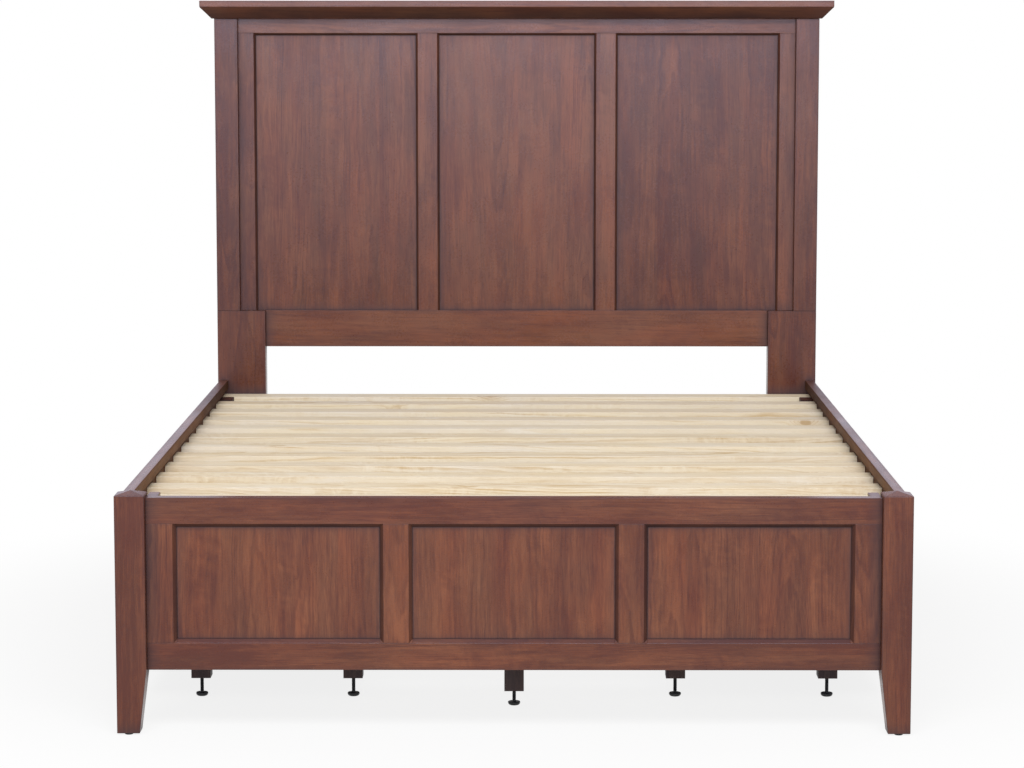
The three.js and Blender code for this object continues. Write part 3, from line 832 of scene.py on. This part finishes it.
@dataclass
class Piece:
    """Gathers eased boards and other solids into one mesh, corner by corner.

    Its corner share scales the painted shade that ambient occlusion puts in its corners.
    """

    name: str
    shelter: float = 1.0
    points: list[Place] = field(default_factory=list)
    faces: list[list[int]] = field(default_factory=list)
    coats: list[Coat] = field(default_factory=list)
    stored: dict[str, list[float]] = field(
        default_factory=lambda: {name: [] for name in ("grain", "recess", "edge", "shelter", "tone")})

    def take(self, solid: Solid, grain: Grain | Callable[[Face], Grain],
             sealed: FaceShare = bare, gathered: CornerShare = bare) -> "Piece":
        """Adds a solid and frees it.

        Args:
            solid: The solid, with recess and edge on its faces and recess on its vertices where it has them.
            grain: Its grain, or a function that gives each face's.
            sealed: Picks the faces that have sealer in place of lacquer.
            gathered: Gives the painted shade at a corner of a face, on top of what the solid says.

        Returns:
            The piece.
        """
        first = len(self.points)
        recess, edge, deep = (layer(elements, name) for elements, name in (
            (solid.faces, "recess"), (solid.faces, "edge"), (solid.verts, "recess")))
        solid.verts.index_update()
        self.points += [tuple(vert.co) for vert in solid.verts]
        # A cut leaves its faces and their first corners in no fixed order, so both are put in one here
        for face in sorted(solid.faces, key=lambda face: sorted(vert.index for vert in face.verts)):
            own = grain(face) if callable(grain) else grain
            hold = face[recess]
            start = min(range(len(face.verts)), key=lambda i: face.verts[i].index)
            verts = [*face.verts[start:], *face.verts[:start]]
            self.faces.append([first + vert.index for vert in verts])
            coat = Coat.SEALER if sealed(face) else Coat.LACQUER
            self.coats.append(Coat.GLAZE if hold > LEDGE_GLAZE_AND_SHADE else coat)
            # Painted shade: a glazed face darkens towards the back of its recess
            near, far = (end(vert.co.y for vert in verts) for end in (min, max))
            for vert in verts:
                depth = (vert.co.y - near) / max(far - near, MM) if hold < 1.0 else 1.0
                held = hold * (SHALLOW_SHARE + (1.0 - SHALLOW_SHARE) * depth)
                self.stored["grain"] += own.at(vert.co)
                self.stored["recess"].append(max(held, vert[deep], gathered(face, vert)))
                self.stored["edge"].append(face[edge])
                self.stored["shelter"].append(self.shelter)
                self.stored["tone"].append(own.tone)
        solid.free()
        return self

    def build(self, body: str, finish: Finish, *nodes: str) -> None:
        """Makes the object, dresses it and puts it on its body.

        Args:
            body: The CAD body it rides on.
            finish: Its finish.
            *nodes: CAD nodes that it stands for.
        """
        mesh = bpy.data.meshes.new(self.name)
        mesh.from_pydata(self.points, [], self.faces)
        for name, values in self.stored.items():
            kind, key = ("FLOAT_VECTOR", "vector") if name == "grain" else ("FLOAT", "value")
            mesh.attributes.new(name, kind, "CORNER").data.foreach_set(key, values)
        mesh.shade_smooth()
        mesh.set_sharp_from_angle(angle=SHARP_ANGLE)
        finishes = {Coat.LACQUER: finish}
        if finish is WALNUT:
            finishes |= {coat: other for coat, other in WALNUT_COATS.items() if coat in self.coats}
        for other in finishes.values():
            mesh.materials.append(other.material())
        order = list(finishes)
        if len(order) > 1:
            mesh.polygons.foreach_set("material_index", [order.index(coat) for coat in self.coats])
        obj = placed(self.name, mesh)
        obj.modifiers.new("even_shading", "WEIGHTED_NORMAL").keep_sharp = True
        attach(obj, body)
        if nodes:
            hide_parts(*nodes)
        log.info("%s: %d faces, rides on %s, stands for %s", self.name, len(self.faces), body,
                 ", ".join(nodes) or "nothing")


@dataclass
class Member:
    """A wooden CAD node that keeps its shape, with its edges eased and its grain laid.

    It is cut across at its stations, places along the bed where the painted shade on it changes.
    """

    node: str
    lie: Lie
    rounding: float
    tone: float = 0.0
    shelter: float = 1.0
    held: FaceShare = moulding
    sealed: FaceShare = bare
    gathered: CornerShare = bare
    stations: Iterable[float] = ()

    def build(self) -> None:
        """Builds the board in the node's place."""
        solid = carried_over(self.node, self.held)
        ease(solid, self.rounding)
        for y in self.stations:
            cut(solid, solid.faces, y, axis=1)
        grain = Grain.of_node(self.node, self.lie, self.tone)
        piece = Piece(f"{self.node}_board", self.shelter).take(solid, grain, self.sealed, self.gathered)
        piece.build(ROOT_BODY, WALNUT, self.node)


@dataclass
class FieldPanel:
    """A flat panel glued up from staves and let into the grooves of its frame.

    Its glaze and painted shade along the frame are given by steps: how far each reaches from the frame, and
    how much it holds.
    """

    node: str
    tone: float = 0.0
    seat: float = 6.5 * MM
    # Steps of glaze and painted shade along the frame
    glaze: tuple[Pair, ...] = ((0.4 * MM, 1.0), (1.4 * MM, 0.6), (4.0 * MM, 0.2), (11.0 * MM, 0.0))
    staves: int = 4
    seam_shift_share: float = 0.22

    def build(self) -> None:
        """Builds the panel in the node's place."""
        low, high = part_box(self.node)
        draw = random.Random(self.node)
        shift = self.seam_shift_share
        seams = [low.x + (high.x - low.x) * (i + draw.uniform(-shift, shift)) / self.staves
                 for i in range(1, self.staves)]
        solid = box(low, high)
        for axis, places in ((0, seams), (0, self.lines(low.x, high.x)), (2, self.lines(low.z, high.z))):
            for place in places:
                cut(solid, solid.faces, place, axis)
        # Glaze and painted shade fade from the panel's edge, where the frame shades it
        recess = layer(solid.verts, "recess")
        for vert in solid.verts:
            x, _, z = vert.co
            vert[recess] = self.held(min(x - low.x, high.x - x, z - low.z, high.z - z))
        grains = []
        for i, (x0, x1) in enumerate(pairwise([low.x, *seams, high.x])):
            stave = Part(f"stave {i}", Lie.STANDING, Vector((x0, low.y, low.z)), Vector((x1, high.y, high.z)))
            grains.append((x1 + WELD, stave.grain(self.node, self.tone)))
        Piece(f"{self.node}_board").take(
            solid, lambda face: next(grain for end, grain in grains if face.calc_center_median().x <= end)
        ).build(ROOT_BODY, WALNUT, self.node)

    def lines(self, low: float, high: float) -> list[float]:
        """Places the lines between two edges of the panel that the glaze and painted shade fade along."""
        inset = [self.seat, *(self.seat + reach for reach, _ in self.glaze)]
        return [low + d for d in inset] + [high - d for d in inset]

    def held(self, distance: float) -> float:
        """Gives the glaze and painted shade at a distance from the panel's edge."""
        return next((share for reach, share in self.glaze if distance - self.seat <= reach + WELD), 0.0)


# Sub-assemblies


@dataclass
class PanelledFrame:
    """What the headboard and the footboard share: rails, stiles, mullions and panels.

    Tones and shares of painted corner shade are by the node's name after the prefix.
    """

    prefix: str
    tones: dict[str, float]
    shelters: dict[str, float] = field(default_factory=dict)
    rail_rounding: float = 0.5 * MM

    def build(self) -> None:
        """Builds every board of the frame."""
        self.members(Lie.CROSSWAYS, self.rail_rounding, "top_rail", "bottom_rail")
        for side in Side:
            self.members(Lie.STANDING, self.rail_rounding, f"stile_{side.word}", f"mullion_{side.word}")
        for name in ("panel_left", "panel_centre", "panel_right"):
            FieldPanel(f"{self.prefix}_{name}", self.tones.get(name, 0.0)).build()

    def members(self, lie: Lie, rounding: float, *names: str, held: FaceShare = moulding) -> None:
        """Builds boards that lie alike, by their nodes' names after the prefix."""
        for name in names:
            Member(f"{self.prefix}_{name}", lie, rounding, self.tones.get(name, 0.0),
                   self.shelters.get(name, 1.0), held).build()


@dataclass
class Footboard(PanelledFrame):
    """The footboard with its tapered, pyramid-topped posts."""

    prefix: str = "footboard"
    tones: dict[str, float] = field(default_factory=lambda: {
        "post_left": -0.46, "post_right": -0.22, "top_rail": -0.26, "bottom_rail": -0.32, "stile_left": -0.26,
        "stile_right": -0.14, "mullion_left": 0.14, "mullion_right": -0.34, "panel_left": -0.05,
        "panel_right": -0.14})
    post_rounding: float = 1.6 * MM

    def build(self) -> None:
        """Builds the frame and its posts."""
        super().build()
        self.members(Lie.STANDING, self.post_rounding, "post_left", "post_right", held=bare)


@dataclass
class Headboard(PanelledFrame):
    """The headboard with its wide legs, slim posts and moulded crown."""

    prefix: str = "headboard"
    tones: dict[str, float] = field(default_factory=lambda: {
        "leg_left": -0.2, "leg_right": -0.25, "post_left": -0.22, "post_right": -0.2, "panel_centre": 0.1,
        "panel_right": -0.22, "stile_right": 0.13, "mullion_left": 0.1, "mullion_right": 0.17,
        "bottom_rail": 0.25, "top_rail": 0.1, "crown": 0.2})
    # How much of the painted shade in corners each board takes; the rest take all of it
    shelters: dict[str, float] = field(default_factory=lambda: {
        "top_rail": 0.2, "crown": 0.25, "stile_left": 0.6, "stile_right": 0.6, "post_left": 0.5,
        "post_right": 0.5})
    post_rounding: float = 1.2 * MM
    crown_rounding: float = 1.3 * MM

    def build(self) -> None:
        """Builds the frame, the legs, the posts and the crown."""
        super().build()
        for side in Side:
            self.members(Lie.STANDING, self.post_rounding, f"leg_{side.word}", f"post_{side.word}")
        self.members(Lie.CROSSWAYS, self.crown_rounding, "crown")


@dataclass
class SideRail:
    """A side rail with its slat groove, ledger and cleat, only sealed on the inside.

    Towards the head it darkens with painted shade, by steps: a place along the bed and the share there.
    """

    side: Side
    rounding: float = 1.4 * MM
    inner_face: float = 791.0 * MM
    outer_board: float = 802.0 * MM
    cleat_from: float = 900.0 * MM
    inward_cosine: float = 0.7
    glaze_steps: tuple[Pair, ...] = ((0.25, 0.0), (0.45, 0.6), (0.65, 1.0))
    share_on_top: float = 0.5

    def build(self) -> None:
        """Builds the rail in its node's place."""
        Member(f"side_rail_{self.side.word}", Lie.LENGTHWAYS, self.rounding, held=self.held,
               sealed=self.inside, gathered=self.gathered, stations=[y for y, _ in self.glaze_steps]).build()

    def inside(self, face: Face) -> bool:
        """Says if a face is on the rail's inner side."""
        inward = face.normal.x * self.side.value < -self.inward_cosine
        return inward and face.calc_center_median().x * self.side.value < self.outer_board

    def held(self, face: Face) -> float:
        """Gives the painted shade on a face, which only the cleat at the head has."""
        x, y, _ = face.calc_center_median()
        return CLEAT_SHADE if x * self.side.value < self.inner_face and y > self.cleat_from else 0.0

    def gathered(self, face: Face, vert: Vert) -> float:
        """Gives the painted shade towards the head, on all but the outer face.

        Args:
            face: A face of the rail.
            vert: A corner of it.

        Returns:
            A share from 0 to 1.
        """
        if face.normal.x * self.side.value > FACING_COSINE:
            return 0.0
        y, share = vert.co.y, self.glaze_steps[-1][1]
        for (y0, share0), (y1, share1) in pairwise(self.glaze_steps):
            if y <= y1:
                share = share0 + (share1 - share0) * max(0.0, y - y0) / (y1 - y0)
                break
        return share * (self.share_on_top if face.normal.z > FACING_COSINE else 1.0)


@dataclass
class SlatDeck:
    """The loose slats, planed with rounded arrises."""

    tones: tuple[float, ...] = (0.0, 0.0, -0.05, -0.1, -0.02, -0.06, 0.1, -0.05, 0.12, 0.05, 0.1, -0.03, 0.0)
    arris: float = 2.2 * MM
    arris_facets: int = 4
    end_rounding: float = 0.7 * MM
    end_facets: int = 2
    end_angle: float = 60.0

    def build(self) -> None:
        """Builds each slat in its node's place, the one at the foot first."""
        for index, tone in enumerate(self.tones, 1):
            node = f"slat_{index:02d}"
            low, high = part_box(node)
            solid = box(low, high)
            ease(solid, self.arris, self.arris_facets, longer_than=high.y - low.y + MM)
            ease(solid, self.end_rounding, self.end_facets, above=self.end_angle)
            grain = Grain.of_node(node, Lie.CROSSWAYS_FLAT, tone)
            Piece(f"{node}_planed").take(solid, grain).build(ROOT_BODY, PALE, node)


@dataclass
class Carcass:
    """A dark CAD node of several boards, parted along their joints so that each has its own grain.

    The boards that show come first, and the last one's grain serves where none holds a face.
    """

    node: str
    parts: list[Part]
    rounding: float = 0.9 * MM
    facets: int = 2
    finest_edge: float = 6.0 * MM
    reach: float = 40.0 * MM

    def build(self) -> None:
        """Builds the carcass in the node's place."""
        solid = carried_over(self.node, bare)
        ease(solid, self.rounding, self.facets, longer_than=self.finest_edge)
        for part, axis in ((part, axis) for part in self.parts for axis in range(3)):
            for corner in (part.low, part.high):
                near = [face for face in solid.faces if part.holds(face.calc_center_median(), self.reach)]
                cut(solid, near, corner[axis], axis)
        grains = [(part, part.grain(self.node)) for part in self.parts]
        Piece(f"{self.node}_boards").take(solid, lambda face: next(
            (grain for part, grain in grains if part.holds(face.calc_center_median())), grains[-1][1])
        ).build(ROOT_BODY, DARK, self.node)


@dataclass
class CentreBeam:
    """The beam under the slats, with its three legs."""

    node: str = "centre_beam"
    leg: float = 42.0 * MM
    beam_height: float = 90.0 * MM
    leg_places: tuple[float, ...] = (-796.0 * MM, -24.0 * MM, 748.0 * MM)

    def build(self) -> None:
        """Builds the beam and its legs as one carcass."""
        low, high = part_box(self.node)
        under, half = high.z - self.beam_height, self.leg / 2
        parts = [Part("beam", Lie.LENGTHWAYS, Vector((low.x, low.y, under)), high)]
        for i, y in enumerate(self.leg_places):
            foot, top = Vector((-half, y - half, low.z)), Vector((half, y + half, under))
            parts.append(Part(f"leg {i}", Lie.STANDING, foot, top))
        Carcass(self.node, parts).build()


@dataclass
class DrawerCase:
    """The case under one side of the bed, open towards the side, on four legs."""

    side: Side
    board: float = 18.0 * MM
    back: float = 12.0 * MM
    stretcher: float = 60.0 * MM
    leg: float = 42.0 * MM
    leg_drop: float = 27.0 * MM
    outer_leg_x: float = 684.0 * MM

    def build(self) -> None:
        """Builds the case as one carcass."""
        node = f"drawer_case_{self.side.word}"
        low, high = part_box(node)
        inner, outer = sorted((abs(low.x), abs(high.x)))
        bottom, top, b, half = low.z + self.leg_drop, high.z, self.board, self.leg / 2
        boards = [(f"upright {i}", Lie.CROSSWAYS, (inner, outer), (y - b / 2, y + b / 2), (bottom, top))
                  for i, y in enumerate((low.y + b / 2, (low.y + high.y) / 2, high.y - b / 2))]
        for label, lie, xs, zs in (
                ("back", Lie.LENGTHWAYS, (inner, inner + self.back), (bottom + b, top - b)),
                ("floor", Lie.LENGTHWAYS_FLAT, (inner, outer), (bottom, bottom + b)),
                ("outer stretcher", Lie.LENGTHWAYS_FLAT, (outer - self.stretcher, outer), (top - b, top)),
                ("inner stretcher", Lie.LENGTHWAYS_FLAT, (inner, inner + self.stretcher), (top - b, top))):
            boards.append((label, lie, xs, (low.y, high.y), zs))
        for x, y in product((inner + half, self.outer_leg_x), (low.y + half, high.y - half)):
            boards.append((f"leg {x:.2f} {y:.2f}", Lie.STANDING, (x - half, x + half), (y - half, y + half),
                           (low.z, bottom)))
        Carcass(node, [Part.on_side(self.side, *board) for board in boards]).build()


@dataclass
class Drawer:
    """A drawer: a walnut front with a finger scoop, on a pale box."""

    side: Side
    place: str
    front: float = 19.0 * MM
    wall: float = 12.0 * MM
    bottom: float = 6.0 * MM
    bottom_raise: float = 8.0 * MM
    margin: float = 1.0 * MM
    box_drop: float = 3.0 * MM
    scoop_width: float = 110.0 * MM
    scoop_depth: float = 24.0 * MM
    scoop_steps: int = 28
    front_rounding: float = 1.3 * MM
    corner_angle: float = 50.0
    wall_rounding: float = 1.6 * MM
    bottom_rounding: float = 0.4 * MM

    @property
    def node(self) -> str:
        """The drawer's node, which its body is named after."""
        return f"drawer_{self.side.word}_{self.place}"

    def build(self) -> None:
        """Builds the front and the box, both on the drawer's body."""
        low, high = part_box(self.node)
        near, far = sorted((abs(low.x), abs(high.x)))
        self.build_front(((far - self.front, far), (low.y, high.y), (low.z, high.z)))
        self.build_box(((near, far - self.front), (low.y + self.margin, high.y - self.margin),
                        (low.z, high.z - self.box_drop)))

    def build_front(self, spans: Spans) -> None:
        """Builds the front from its outline, with the scoop let into its top edge.

        Args:
            spans: Its span in X, as distances from the bed's middle line, in Y and in Z.
        """
        xs, ys, zs = spans
        half = self.scoop_width / 2
        radius = (self.scoop_width ** 2 / 4 + self.scoop_depth ** 2) / (2 * self.scoop_depth)
        middle, centre = sum(ys) / 2, zs[1] - self.scoop_depth + radius
        reach = math.asin(half / radius)
        angles = [reach - 2 * reach * step / self.scoop_steps for step in range(self.scoop_steps + 1)]
        scoop = [(middle + radius * math.sin(a), centre - radius * math.cos(a)) for a in angles]
        outline = [(ys[0], zs[0]), (ys[1], zs[0]), (ys[1], zs[1]), *scoop, (ys[0], zs[1])]
        solid = bmesh.new()
        rings = [[solid.verts.new((self.side.value * x, y, z)) for y, z in outline] for x in xs]
        for ring in rings:
            solid.faces.new(ring)
        for i, (a, b) in enumerate(zip(*rings)):
            solid.faces.new((a, b, rings[1][i - 1], rings[0][i - 1]))
        bmesh.ops.recalc_face_normals(solid, faces=solid.faces)
        ease(solid, self.front_rounding, above=self.corner_angle)
        name = f"{self.node}_front"
        board = Part.on_side(self.side, name, Lie.LENGTHWAYS, *spans)
        grain = Grain.drawn(name, board.lie, board.low, board.high)
        Piece(name).take(solid, grain).build(self.node, WALNUT, self.node)

    def build_box(self, spans: Spans) -> None:
        """Builds the box of two sides, a back and a bottom let into them.

        Args:
            spans: Its span in X, as distances from the bed's middle line, in Y and in Z.
        """
        xs, (y0, y1), zs = spans
        floor = zs[0] + self.bottom_raise
        between = (y0 + self.wall, y1 - self.wall)
        piece = Piece(f"{self.node}_box")
        for label, lie, *own in (
                ("foot side", Lie.CROSSWAYS, xs, (y0, between[0]), zs),
                ("head side", Lie.CROSSWAYS, xs, (between[1], y1), zs),
                ("back", Lie.LENGTHWAYS, (xs[0], xs[0] + self.wall), between, zs),
                ("bottom", Lie.LENGTHWAYS_FLAT, (xs[0] + self.wall, xs[1]), between,
                 (floor, floor + self.bottom))):
            part = Part.on_side(self.side, label, lie, *own)
            solid = box(part.low, part.high)
            ease(solid, self.bottom_rounding if label == "bottom" else self.wall_rounding)
            piece.take(solid, part.grain(self.node))
        piece.build(self.node, PALE)


@dataclass
class Leveller:
    """A levelling foot: a dished pad on a threaded stem that turns in its leg."""

    node: str
    pad_height: float = 8.0 * MM
    rim: float = 2.0 * MM
    rim_share: float = 0.6
    flat_radius: float = 7.5 * MM
    bottom_chamfer: float = 0.6 * MM
    stem_radius: float = 4.0 * MM
    stem_chamfer: float = 0.9 * MM
    thread_pitch: float = 1.25 * MM
    thread_depth: float = 0.5 * MM
    flare: float = 1.6 * MM
    flare_share: float = 2.4
    segments: int = 28
    rows_a_turn: int = 6
    dish_steps: int = 8
    rim_steps: int = 6
    flare_steps: int = 4

    def build(self) -> None:
        """Builds the pad and its stem on the leveller's body."""
        low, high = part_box(self.node)
        radius, rim_z = (high.x - low.x) / 2, self.pad_height - self.rim
        flat, stem, flare = self.flat_radius, self.stem_radius, self.flare
        profile = [(0.0, 0.0), (flat - self.bottom_chamfer, 0.0)]
        profile += [(flat + (radius - flat) * sine, rim_z * versine)
                    for sine, versine in quarter_arc(self.dish_steps)]
        profile += [(radius - self.rim * self.rim_share * versine, rim_z + self.rim * sine)
                    for sine, versine in quarter_arc(self.rim_steps)[1:]]
        profile.append((stem + self.flare_share * flare, self.pad_height))
        profile += [(stem + flare * (1 - sine), self.pad_height + flare * versine)
                    for sine, versine in quarter_arc(self.flare_steps)]
        bottom, row_height = profile[-1][1], self.thread_pitch / self.rows_a_turn
        rows = round((high.z - bottom - self.thread_pitch) / row_height)
        top = bottom + rows * row_height
        profile += [(stem, bottom + row * row_height) for row in range(1, rows + 1)]
        profile += [(stem - self.stem_chamfer, high.z), (0.0, high.z)]

        def thread(angle: float, z: float) -> float:
            """Depth of the thread at an angle and height, running out at its lower end."""
            if not bottom < z <= top:
                return 0.0
            turn = (z - bottom) / self.thread_pitch - angle / (2 * math.pi)
            wave = abs(2 * (turn - math.floor(turn)) - 1)
            return self.thread_depth * wave * min(1.0, (z - bottom) / self.thread_pitch)

        solid = turned(profile, ((low + high) / 2).xy, self.segments, thread)
        grain = Grain.of_node(self.node, Lie.STANDING)
        Piece(f"{self.node}_turned").take(solid, grain).build(self.node, METAL, self.node)


@dataclass
class FootGlide:
    """A nylon glide tapped into the underside of a foot post, with a dimple in its sole."""

    side: Side
    flat_radius: float = 6.5 * MM
    dimple_radii: Pair = (1.6 * MM, 1.9 * MM)
    dimple_depth: float = 0.5 * MM
    flange: float = 0.8 * MM
    segments: int = 40
    sole_steps: int = 10

    def build(self) -> None:
        """Builds the glide in its node's place."""
        node = f"foot_glide_{self.side.word}"
        low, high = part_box(node)
        widening, height = (high.x - low.x) / 2 - self.flat_radius, high.z - low.z - self.flange
        roof = low.z + self.dimple_depth
        profile = [(0.0, roof), (self.dimple_radii[0], roof), (self.dimple_radii[1], low.z)]
        profile += [(self.flat_radius + widening * sine, low.z + height * versine)
                    for sine, versine in quarter_arc(self.sole_steps)]
        profile += [((high.x - low.x) / 2, high.z), (0.0, high.z)]
        solid = turned(profile, ((low + high) / 2).xy, self.segments)
        grain = Grain.of_node(node, Lie.STANDING)
        Piece(f"{node}_moulded").take(solid, grain).build(ROOT_BODY, PLASTIC, node)


# Camera and studio


@dataclass
class PhotoCamera:
    """The photograph's viewpoint, with the lens pitched down where the photograph shifted it."""

    place: Place = (0.02354, -7.19154, 1.44576)
    pitch: float = 0.1164
    yaw: float = 0.0044
    focal_pixels: float = 3016.04
    image_width: float = 1024.0
    sensor: float = 36.0
    sight: float = 100.0

    def build(self) -> None:
        """Makes the camera and sets it as the scene's."""
        data = bpy.data.cameras.new("photo_camera")
        data.sensor_width, data.clip_end = self.sensor, self.sight
        data.lens = self.focal_pixels / self.image_width * self.sensor
        camera = placed("photo_camera", data)
        camera.location = self.place
        camera.rotation_euler = (QUARTER - self.pitch, 0.0, self.yaw)
        bpy.context.scene.camera = camera
        log.info("photo_camera: %.1f mm lens", data.lens)


@dataclass
class Studio:
    """A white floor, a pale world and two soft lamps, in front and overhead.

    Each lamp has a place, a target, a width and height, and a power in watts.
    """

    floor_half: float = 14.0
    floor_white: Colour = (0.8, 0.8, 0.77)
    floor_rough: float = 0.9
    shadow_shape: Place = (1.0, 0.85, 0.0)
    shadow_reach: Span = (1.0, 1.9)
    seen_share: float = 0.84
    world_strength: float = 0.4
    white: Colour = (1.0, 1.0, 1.0)
    mirrored_white: Colour = (0.92, 0.93, 1.1)
    lamp_white: Colour = (0.985, 0.985, 1.05)
    lamps: tuple[tuple[str, Place, Place, Pair, float], ...] = (
        ("front_softbox", (0.0, -8.6, 2.2), (0.0, 0.6, 0.8), (5.6, 1.7), 179.0),
        ("high_softbox", (0.0, -4.6, 4.5), (0.0, 0.4, 0.3), (5.0, 2.2), 282.0))

    def build(self) -> None:
        """Makes the floor, the world and the lamps."""
        self.lay_floor()
        self.make_world()
        for name, place, target, size, power in self.lamps:
            data = bpy.data.lights.new(name, "AREA")
            data.shape, data.energy, data.color = "RECTANGLE", power, self.lamp_white
            data.size, data.size_y = size
            lamp = placed(name, data)
            lamp.location = place
            lamp.rotation_euler = (Vector(target) - Vector(place)).to_track_quat("-Z", "Y").to_euler()
            log.info("%s: %.0f W", name, power)
        bpy.context.scene.view_settings.view_transform = "Standard"

    def lay_floor(self) -> None:
        """Lays the floor, which the camera sees almost white but for the bed's shadow."""
        corners = [(self.floor_half * x, self.floor_half * y, 0.0)
                   for x, y in ((-1, -1), (1, -1), (1, 1), (-1, 1))]
        mesh = bpy.data.meshes.new("studio_floor")
        mesh.from_pydata(corners, [], [(0, 1, 2, 3)])
        material = bpy.data.materials.new("studio_floor")
        bench = cleared(material)
        place = bench.vector("MULTIPLY", bench.add("TexCoord").outputs["Object"], self.shadow_shape)
        glow_share = bench.span(bench.vector("LENGTH", place), *self.shadow_reach, self.seen_share, 1.0)
        matt = {"Base Color": self.floor_white, "Roughness": self.floor_rough, "Specular IOR Level": 0.0}
        mix = bench.add("MixShader", {0: bench.times(glow_share, bench.seen_by_eye()),
                                      1: bench.add("BsdfPrincipled", matt).outputs["BSDF"],
                                      2: bench.add("Emission", {"Color": self.white}).outputs[0]})
        bench.add("OutputMaterial", {"Surface": mix.outputs[0]})
        mesh.materials.append(material)
        placed("studio_floor", mesh)

    def make_world(self) -> None:
        """Makes the world: white where it is seen, a little cooler in reflections, softer as a light."""
        world = bpy.context.scene.world = bpy.data.worlds.new("studio_world")
        bench = cleared(world)
        mirrored = bench.add("LightPath").outputs["Is Glossy Ray"]
        strength = bench.span(bench.seen_by_eye(), 0.0, 1.0, self.world_strength, 1.0, smooth=False)
        shade = {"Color": bench.mixed(mirrored, self.white, self.mirrored_white), "Strength": strength}
        bench.add("OutputWorld", {"Surface": bench.add("Background", shade).outputs[0]})


def main() -> None:
    """Builds the bed, its studio and its camera."""
    logging.basicConfig(level=logging.INFO, format="%(name)s: %(message)s")
    parts = [PhotoCamera(), Studio(), Footboard(), Headboard(), *map(SideRail, Side), SlatDeck(),
             CentreBeam()]
    for side in Side:
        parts += [DrawerCase(side), Drawer(side, "foot"), Drawer(side, "head"), FootGlide(side)]
    parts += [Leveller(node) for node in sorted(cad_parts) if node.startswith("leveller_")]
    for part in parts:
        log.info("building %s", type(part).__name__)
        part.build()


if __name__ == "__main__":
    main()
